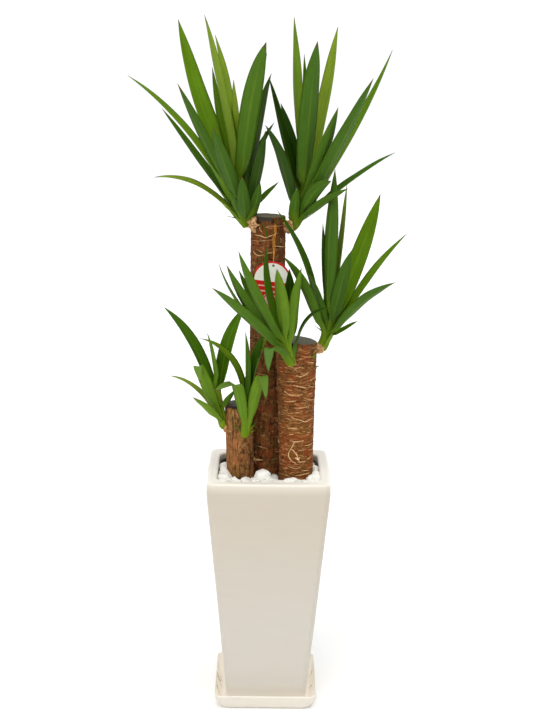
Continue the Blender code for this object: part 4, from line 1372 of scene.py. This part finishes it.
def stemRadius(shoot, share):
    share = clamp(share)
    return (stemSet["radius"] - stemSet["taper"] * share) * mix(shoot["slim"], 1, ease(-0.03, 0.24, share))


def stemLength(shoot):
    return routeLength([stemPoint(shoot, i / 12) for i in range(13)])


def bladeWidth(row, share):
    # narrower at the foot, full width at two fifths of the length, then a long taper to a point
    full, widest = bladeSet["wide"] + bladeSet["widens"] * row["length"], bladeSet["widest"]
    if share < widest:
        return full * mix(row["foot"], 1, smoothstep(share / widest))
    return max(full * (1 - ((share - widest) / (1 - widest)) ** 2.6), bladeSet["tip"])


def bladeWay(row, outwards, share):
    lean = radians(row["lean"] + row["droop"] * max(share, 0) ** 1.5)
    return outwards * sin(lean) + Vector((0, 0, cos(lean)))


def bladeFrames(row, foot, steps):
    # point, side and face direction at each step along a blade's middle
    outwards, side = compass(row["heading"])
    frames = []
    point = foot.copy()
    for i in range(2 * steps + 1):
        share = i / steps / 2
        along = bladeWay(row, outwards, share)
        rolled = Matrix.Rotation(radians(row["roll"]) * smoothstep(share / row["turned"]), 3, along) @ side
        folded = radians(row["fold"]) * smoothstep((share - row["foldAt"]) / bladeSet["foldSpan"] + 0.5)
        along = Matrix.Rotation(folded, 3, rolled) @ along
        if i % 2:
            point = point + along * (row["length"] / steps)
        else:
            frames.append((share, point.copy(), rolled, along.cross(rolled)))
    return frames


def bladeAcross():
    # from -1 at one margin to 1 at the other, for each column of points
    last = bladeSet["columns"] - 1
    return [mix(-1, 1, j / last) for j in range(last + 1)]


def clasp(shoot, row, share, spread, lift):
    # a row of points that curves round the stem, which is how a blade's foot holds it
    way = stemWay(shoot, clamp(share, 0.02, 0.98))
    outwards = compass(row["heading"])[0]
    outwards = (outwards - way * outwards.dot(way)).normalized()
    side = way.cross(outwards)
    middle = stemPoint(shoot, min(share, 1.0)) + way * max(share - 1.0, 0.0) * stemLength(shoot)
    reach = stemRadius(shoot, share) + lift
    held = []
    for u in bladeAcross():
        a = spread * u
        out = outwards * cos(a) + side * sin(a)
        held.append((middle + out * reach, -out))
    return held


def sheathRings(shoot, row, lift, spreads):
    # the part below a blade's foot, which clasps the stem
    rows = bladeSet["sheathRows"]
    sheath = bladeSet["sheath"] * clamp(row["length"] / 0.25, 0.55, 1.1)
    rings = []
    for i in range(rows):
        q = i / rows
        share = row["height"] - (1 - q) * sheath / stemLength(shoot)
        held = lift * ease(-0.1, 0.5, q) - 0.0004 * (1 - q)
        ring = clasp(shoot, row, share, mix(*spreads, q), held)
        rings.append((-(1 - q) * sheath / row["length"], ring, bladeSet["sheathThick"]))
    return rings


def bladeRow(share, point, side, face, width, wave, curl):
    # points across a blade, hollow along its middle and rippled towards its margins
    trough = bladeSet["vee"] * (1.0 + curl * share) * (1.15 - 0.35 * share)
    trough += bladeSet["cupped"] * (1 - ease(0.02, 0.34, share))
    points = []
    for u in bladeAcross():
        hollow = (sqrt(u * u + 0.02) - 0.52) * trough * width
        ripple = wave[2] * width * sin(2 * pi * wave[0] * share + wave[1] + (1.3 if u > 0 else 0)) * u * u
        lean = face * (hollow + ripple * ease(0.05, 0.3, share))
        facing = (face - side * u * trough * 1.6).normalized()
        points.append((point + side * (u * width / 2) + lean, facing))
    return points


def bladeFaces(rings):
    # quads round every ring of points, which has a blade's top first and then its underside
    columns = bladeSet["columns"]
    stride = columns * 2 - 2
    faces = []

    def index(i, k):  # k runs over the top from one margin to the other, then back underneath
        return i * stride + (k if k < columns else columns + (stride - 1 - k))

    for i in range(rings - 1):
        for k in range(stride):
            n = (k + 1) % stride
            faces.append([index(i, k), index(i, n), index(i + 1, n), index(i + 1, k)])
    for i, turn in ((0, -1), (rings - 1, 1)):  # close both ends
        for k in range(columns - 1):
            around = (k, k + 1, (stride - k - 1) % stride, (stride - k) % stride)
            face = list(dict.fromkeys(index(i, n) for n in around))
            if len(face) > 2:
                faces.append(face[::-turn])
    return faces


def bladeShape(shoot, row, seed):
    rng = Random(seed)
    stem = stemLength(shoot)
    inner = row["young"] and row["height"] > bladeSet["innerFrom"]
    reach = stemRadius(shoot, row["height"])
    reach = reach * 0.3 if inner else reach + bladeSet["gap"]
    foot = stemPoint(shoot, row["height"]) + compass(row["heading"])[0] * reach
    steps = bladeSet["foldSteps"] if row["fold"] else bladeSet["steps"]
    length = row["length"]
    lift = 0.0004 + 0.0003 * (seed % 3) if inner else 0.0010 + 0.0007 * (seed % 4)
    spreads = bladeSet["innerClasp"] if inner else bladeSet["clasp"]
    # each ring: share along, then a point and a facing for each column, then the half thickness
    rings = sheathRings(shoot, row, lift, spreads)
    wave = (rng.uniform(1.2, 2.6), rng.uniform(0, 6.3), rng.uniform(0.010, 0.028))
    curl = rng.uniform(-0.10, 0.16)
    leave = min(bladeSet["leaves"] / length, 0.34)
    for share, point, side, face in bladeFrames(row, foot, steps):
        width = bladeWidth(row, share)
        points = bladeRow(share, point, side, face, width, wave, curl)
        off = ease(0.0, leave, share)
        if off < 1:
            on = row["height"] + share * length / stem
            flat = width / 2 / stemRadius(shoot, on)
            spread = min(mix(spreads[1], flat, ease(0, 0.6 * leave, share)), 1.2)
            held = clasp(shoot, row, min(on, row["height"] + leave * length / stem), spread, lift)
            points = [
                (a.lerp(b, off), na.lerp(nb, off).normalized()) for (a, na), (b, nb) in zip(held, points)
            ]
        thick = bladeSet["thick"] * (1.0 - 0.62 * share) * (1.25 - 0.25 * off)
        rings.append((share, points, thick))
    shape = Shape("spot", "leafKind", "bloom")
    kind = (row["tone"] + rng.uniform(-0.10, 0.10), rng.random(), rng.random())
    full = bladeWidth(row, bladeSet["widest"])
    for share, points, thick in rings:
        grown = share if share < 0 or length > 0.13 else share ** 1.9
        for under in (0.0, 1.0):
            for u, (place, face) in zip(bladeAcross(), points):
                if under and abs(u) == 1:
                    continue
                half = thick * (1 - 0.75 * u * u)
                bloom = 0.12 * under
                if row["fold"]:
                    bloom += 0.32 * ease(row["foldAt"] - 0.05, row["foldAt"] + 0.05, share)
                shape.add([place + face * (-half if under else half)], [], spot=(u, grown, full),
                          leafKind=kind, bloom=bloom)
    shape.faces = bladeFaces(len(rings))
    return shape


def spurShape(shoot, row, seed):
    # a narrow little blade with a pointed tip, clasping the stem at its foot
    foot = stemPoint(shoot, row["height"]) + compass(row["heading"])[0] * stemRadius(shoot, 0) * 0.8
    wide = stemSet["spurWide"]
    return spikeShape(foot, row["heading"], row["lean"], row["length"], wide, row["tone"], Random(seed))


def spikeShape(foot, heading, lean, length, wide, tone, rng):
    outwards, side = compass(heading)
    curve = rng.uniform(-25, 35)
    shape = Shape("spot", "leafKind", "bloom")
    kind = (tone, rng.random(), rng.uniform(0.4, 1.0))
    point = foot.copy()
    rows, around = 11, 8
    for i in range(rows):
        share = i / (rows - 1)
        a = radians(lean + curve * share)
        along = outwards * sin(a) + Vector((0, 0, cos(a)))
        face = along.cross(side)
        width = wide * (0.75 + 0.35 * sin(pi * share)) * (1 - share ** 1.6) + 0.0003
        for b in anglesRound(around):
            u = cos(b)
            flat = face * (sin(b) * 0.0011 * (1 - 0.7 * share) + (abs(u) - 0.4) * width * 0.28)
            shape.add([point + side * u * width / 2 + flat], [], spot=(u, share * 0.9, wide),
                      leafKind=kind, bloom=0.0)
        point = point + along * length / (rows - 1)
    shape.faces = cappedFaces(rows, around)
    return shape


def stemShape(shoot, seed):
    # the stem, thick and ringed at its foot, down to where it breaks out of the bark
    rows, columns = 26, 24
    shape = Shape("spot", "leafKind", "bloom")
    start = stemStart(shoot)
    inwards = start - Vector(shoot["bend"])
    inwards.z = 0
    root = start + inwards.normalized() * (0.004 + shoot["out"])
    kind = (tones["pale"], 0.3 + 0.1 * (seed % 5), 0.0 if shoot["cane"] == "cane_short" else 1.0)
    way = None
    for i in range(rows + 4):
        share = (i - 1) / rows
        middle = stemPoint(shoot, min(share, 1.0)) if i else root
        ahead = stemWay(shoot, clamp(share, 0.02, 0.97))
        if way is None:
            way = ahead.orthogonal().normalized()
        way = (way - ahead * way.dot(ahead)).normalized()
        up = ahead.cross(way)
        radius = stemRadius(shoot, share)
        if share > 1:
            radius *= sqrt(max(1 - ((share - 1) * rows / 3) ** 2, 0.01))
            middle = middle + ahead * (share - 1) * 0.05
        ringed = 0.0004 * abs(sin(share * 26))
        for a in anglesRound(columns):
            rough = noise.noise(Vector((cos(a) * 2, sin(a) * 2 + seed, share * 9))) * 0.0006
            out = radius + ringed + rough
            shape.add([middle + (way * cos(a) + up * sin(a)) * out], [], spot=(0.5, -0.3 + 0.2 * share, 0.02),
                      leafKind=kind, bloom=0.0)
    shape.faces = cappedFaces(rows + 4, columns)
    return shape


leafSet = {
    "deep": paint(34, 64, 4),
    "mid": paint(60, 98, 6),
    "fresh": paint(92, 128, 14),
    "pale": paint(128, 152, 42),
    "foot": paint(106, 132, 18),
    "sheath": paint(134, 150, 34),
    "husk": paint(134, 96, 48),
    "lime": paint(214, 220, 40),
    "tan": paint(176, 124, 66),
    "tip": paint(96, 82, 40),
    "bloom": paint(112, 140, 84),
}


def leafFinish(name):
    f = Finish(name)
    across, along, wide = f.split(f.value("spot", "Vector"))
    tone, seed, dry = f.split(f.value("leafKind", "Vector"))
    bloom = f.value("bloom")
    stops = [(place, leafSet[shade]) for shade, place in tones.items()]
    green = f.node("ShaderNodeValToRGB", {"stops": stops}, {0: tone})
    run = f.join(across * wide * 700, along * 5, seed * 40)
    veins = f.noise(run, 1.0, 2.0, 0.5)
    wideVeins = f.noise(f.join(across * wide * 150, along * 2.4, seed * 90), 1.0, 3.0)
    cloud = f.noise(f.join(across * 1.2, along * 7, seed * 60), 1.0, 3.0)
    colour = f.shade(green, (veins - 0.5) * 0.35 + (wideVeins - 0.5) * 0.5 + (cloud - 0.5) * 0.45)
    colour = f.blend(bloom, colour, leafSet["bloom"])
    middle = 1 - abs(across).ramp(0.02, 0.16)
    colour = f.blend(middle * 0.22 * (1 - along.ramp(0.5, 0.95)), colour, leafSet["pale"])
    margin = abs(across).ramp(0.86, 1.0)
    colour = f.blend(margin * 0.35, colour, leafSet["pale"])
    colour = f.blend((1 - along.ramp(0.0, 0.26)) * (0.45 + cloud * 0.6), colour, leafSet["foot"])
    colour = f.blend((1 - along.ramp(-0.16, 0.05)) * 0.75, colour, leafSet["sheath"])
    husk = (1 - along.ramp(-0.32, -0.20)) * cloud.ramp(0.35, 0.6) * dry
    colour = f.blend(husk * 0.7, colour, leafSet["husk"])
    rim = 1 - along.ramp(-0.295, -0.268)  # only a stem reaches this far down
    colour = f.blend(rim, colour, f.blend(dry, leafSet["lime"], leafSet["tan"]))
    end = 0.985 - dry * 0.035
    colour = f.blend(along.ramp(end - 0.02, end + 0.012) * 0.9, colour, leafSet["tip"])
    marks = f.noise(f.join(across * wide * 260, along * 42, seed * 25), 1.0, 3.0).ramp(0.73, 0.78)
    colour = f.blend(marks * 0.4, colour, leafSet["husk"])
    rough = 0.44 + cloud * 0.16 + bloom * 0.2
    height = veins * 0.6 + wideVeins * 0.5 - middle * 0.5
    bump = f.bump(height, 0.0005, 0.7)
    return f.set(Base_Color=colour, Roughness=rough, Specular_IOR_Level=0.06, Normal=bump)


def makeShoots():
    leaf = leafFinish("yucca leaf")
    young = leafFinish("young leaf and stem")
    for order, (name, shoot) in enumerate(shootSet.items()):
        crown = stemShape(shoot, order)
        grown = 0
        for number, row in enumerate(shoot["blades"]):
            made = bladeShape(shoot, row, order * 100 + number)
            if row["young"]:
                crown.join(made)
                continue
            grown += 1
            node = f"{name}_leaf_{grown:02d}"
            piece = made.piece(f"{name}_blade_{grown:02d}", leaf)
            ridden(piece, "leaf", node)
        for number, row in enumerate(shoot["spurs"]):
            crown.join(spurShape(shoot, row, order * 50 + number))
        ridden(crown.piece(f"{name}_crown", young), "shoot", f"{name}_shoot")
        print("shoot", name, "with", grown, "grown blades")
    return leaf


def makeCanes():
    for order, (name, cane) in enumerate(caneSet.items()):
        seed = 11.3 * (order + 1)
        shape = barkShape(cane, seed)
        addStrands(shape, cane, seed)
        for number, shoot in enumerate(shootSet.values()):
            if shoot["cane"] != name:
                continue
            size, deep, turn, lift = shoot["callus"]
            start = stemStart(shoot)
            middle = caneAt(cane, start.z)[0]
            outwards = Matrix.Rotation(radians(turn), 3, "Z") @ (start - middle)
            outwards.z = 0
            spot = middle + outwards * 0.97 + Vector((0, 0, lift))
            addCallus(shape, spot, outwards, size, deep, number * 2.1)
        addRoots(shape, cane, rootSet.get(name, []), seed)
        piece = shape.piece(f"{name}_bark", barkFinish(f"{name} bark", cane), sharp=75)
        ridden(piece, "bark", name)
        print("cane", name, "with", len(shape.faces), "faces")


# buds that have broken through the bark: place, heading, lean, length, width, tone
budSet = {
    "tall_bud": ((-0.0115, -0.0035, 1.1835), 215, 9, 0.041, 0.0085, "mid"),
    "medium_bud_high": ((0.1040, -0.0640, 0.8990), -35, 40, 0.018, 0.008, "fresh"),
    "medium_bud_low": ((0.1110, -0.0500, 0.8720), -20, 55, 0.013, 0.006, "mid"),
}


def makeBuds(leaf):
    for number, (name, (foot, heading, lean, length, wide, tone)) in enumerate(budSet.items()):
        rng = Random(number + 900)
        foot, tone = Vector(foot), tones[tone]
        shape = spikeShape(foot, heading, lean, length, wide, tone, rng)
        shape.join(spikeShape(foot, heading + 60, lean + 28, length * 0.5, wide * 0.8, tone, rng))
        ridden(shape.piece(name, leaf), "leaf")
    print("buds made")


makeCanes()
leaf = makeShoots()
makeBuds(leaf)


# white stones over the soil

stoneSet = {
    "reach": 0.1125,
    "corner": 0.040,
    "wide": 0.1225,  # how far out those on the grow pot's rim reach
    "heapEnd": 0.075,  # behind this the rim is bare
    "white": paint(246, 244, 238),
    "grey": paint(208, 204, 194),
    "glow": 0.04,
    "hollow": 0.012,  # how much lower they lie in the back corners
    "flats": 11,  # how many planes flatten each
    "tries": 5200,
    "sizes": (0.018, 0.029),
    "rimSizes": (0.020, 0.028),  # of those on the grow pot's rim
    "rimInside": 0.014,  # how far in from the heap's edge those start
    "dust": paint(168, 150, 122),
    # stones along the front and sides: place, top, size across, depth and height
    "front": [
        (-0.0170, -0.0700, 0.6175, 0.037, 0.030, 0.032), (0.0085, -0.0900, 0.6020, 0.036, 0.026, 0.019),
        (-0.0540, -0.0960, 0.6020, 0.052, 0.028, 0.020), (-0.0850, -0.0850, 0.6040, 0.030, 0.028, 0.022),
        (-0.0240, -0.0980, 0.5985, 0.026, 0.024, 0.018), (0.0330, -0.0980, 0.5980, 0.028, 0.022, 0.018),
        (-0.1090, -0.0960, 0.6020, 0.028, 0.030, 0.020), (-0.1090, -0.0640, 0.6050, 0.030, 0.034, 0.022),
        (-0.1100, -0.0320, 0.6050, 0.028, 0.032, 0.022), (-0.1090, -0.0010, 0.6060, 0.030, 0.032, 0.022),
        (-0.1100, 0.0280, 0.6020, 0.028, 0.030, 0.020), (-0.0900, 0.0420, 0.5990, 0.030, 0.030, 0.022),
        (0.1110, -0.0940, 0.6020, 0.030, 0.030, 0.020), (0.1140, -0.0640, 0.6050, 0.024, 0.032, 0.022),
        (0.1150, -0.0340, 0.6050, 0.022, 0.030, 0.022), (0.1140, -0.0040, 0.6050, 0.024, 0.032, 0.022),
        (0.1130, 0.0240, 0.6020, 0.026, 0.030, 0.020), (0.0880, -0.1000, 0.6000, 0.030, 0.024, 0.018),
    ],
}


def stoneFinish():
    f = Finish("white stone")
    place = f.place()
    z = f.split(place)[2]
    tone = f.value("tone")
    veins = f.noise(place, 95.0, 6.0, 0.62)
    colour = f.blend(tone.ramp(0.35, 1.0) * 0.6, stoneSet["white"], stoneSet["grey"])
    colour = f.shade(colour, (veins - 0.5) * 0.16)
    dust = f.noise(place, 60.0, 5.0).ramp(0.52, 0.74) * (1 - z.ramp(0.572, 0.592)).most(0.12)
    colour = f.blend(dust * 0.7, colour, stoneSet["dust"])
    grains = f.noise(place, 900.0, 3.0)
    height = grains * 0.35 + veins
    # painted light: each stone glows a little in its own colour, lifting the shade inside the pot
    f.set(Emission_Color=colour, Emission_Strength=stoneSet["glow"])
    return f.set(Base_Color=colour, Roughness=0.55 + veins * 0.3, Normal=f.bump(height, 0.0007))


def stoneShape(middle, sizes, detail, rng):
    # a tumbled chip: a ball flattened by random planes
    builder = bmesh.new()
    bmesh.ops.create_icosphere(builder, subdivisions=detail, radius=1.0)
    planes = []
    for _ in range(stoneSet["flats"]):
        way = Vector((rng.gauss(0, 1), rng.gauss(0, 1), rng.gauss(0, 1))).normalized()
        planes.append((way, rng.uniform(0.58, 0.86)))
    spin = Matrix.Rotation(rng.uniform(0, 6.3), 3, Vector((0, 0, 1)))
    offset = Vector((rng.uniform(0, 50), 0, 0))
    points = []
    for vert in builder.verts:
        p = vert.co.copy()
        for way, limit in planes:
            over = p.dot(way) - limit
            if over > 0:
                p -= way * over * 0.93
        p *= 1 + 0.035 * noise.noise(p * 3 + offset) + 0.018 * noise.noise(p * 9 + offset)
        points.append(spin @ Vector((p.x * sizes[0], p.y * sizes[1], p.z * sizes[2])) * 0.62)
    lift = max(p.z for p in points)
    points = [p + middle - Vector((0, 0, lift)) for p in points]  # middle's height is the stone's top
    faces = [[v.index for v in face.verts] for face in builder.faces]
    builder.free()
    return points, faces


def makeStones():
    rng = Random(20)
    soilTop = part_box("potting_soil")[1].z
    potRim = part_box("nursery_pot")[1].z
    shape = Shape("tone")
    placed = []
    for x, y, top, *sizes in stoneSet["front"]:
        points, faces = stoneShape(Vector((x, y, top)), sizes, 4, rng)
        shape.add(points, faces, tone=rng.uniform(0, 0.25))
        placed.append((x, y, sizes[0] * 0.36))

    def clear(x, y, gap, reach):
        reach, corner = reach - gap, stoneSet["corner"]
        over = Vector((max(abs(x) - reach + corner, 0), max(abs(y) - reach + corner, 0)))
        if over.length > corner:
            return False
        for cane in caneSet.values():
            middle, radius = caneAt(cane, soilTop + 0.02)
            if (Vector((x, y)) - middle.xy).length < radius + gap + 0.001:
                return False
        return True

    # each layer: how far apart its stones are, how high their tops lie and how far out they reach
    layers = [
        (0.0200, soilTop + 0.011, stoneSet["reach"]), (0.0172, soilTop + 0.024, stoneSet["reach"]),
        (0.0138, potRim + 0.0130, stoneSet["wide"]),
    ]
    for layer, (spacing, top, reach) in enumerate(layers):
        for _ in range(stoneSet["tries"]):
            x = rng.uniform(-1, 1) * reach
            y = rng.uniform(-1, 1) * reach
            size = rng.uniform(*stoneSet["sizes" if layer < 2 else "rimSizes"])
            near = any((u - x) ** 2 + (v - y) ** 2 < (r + spacing / 2) ** 2 for u, v, r in placed)
            if near or not clear(x, y, size * 0.40, reach):
                continue
            inside = max(abs(x), abs(y)) < stoneSet["reach"] - stoneSet["rimInside"]
            if layer == 2 and (y > stoneSet["heapEnd"] or inside):
                continue
            placed.append((x, y, spacing / 2))
            tall = rng.uniform(0.62, 0.9) if layer < 2 else rng.uniform(0.50, 0.62)
            sizes = [size * rng.uniform(0.85, 1.2), size * rng.uniform(0.8, 1.05), size * tall]
            heap = 0.006 * smoothstep(-y / 0.11) if layer == 1 else 0  # heaped a little towards the front
            height = top + heap + rng.uniform(-0.004, 0.004) * (0.4 if layer == 2 else 1)
            if layer > 0:
                height -= stoneSet["hollow"] * ease(0.030, 0.070, y) * ease(0.050, 0.080, abs(x))
            points, faces = stoneShape(Vector((x, y, height)), sizes, 3, rng)
            shape.add(points, faces, tone=rng.random())
        placed = placed[:len(stoneSet["front"])]
    piece = shape.piece("stone_bed", stoneFinish(), sharp=38)
    print("stone bed with", len(shape.faces), "faces")
    return ridden(piece, "stones", "white_stones")


makeStones()
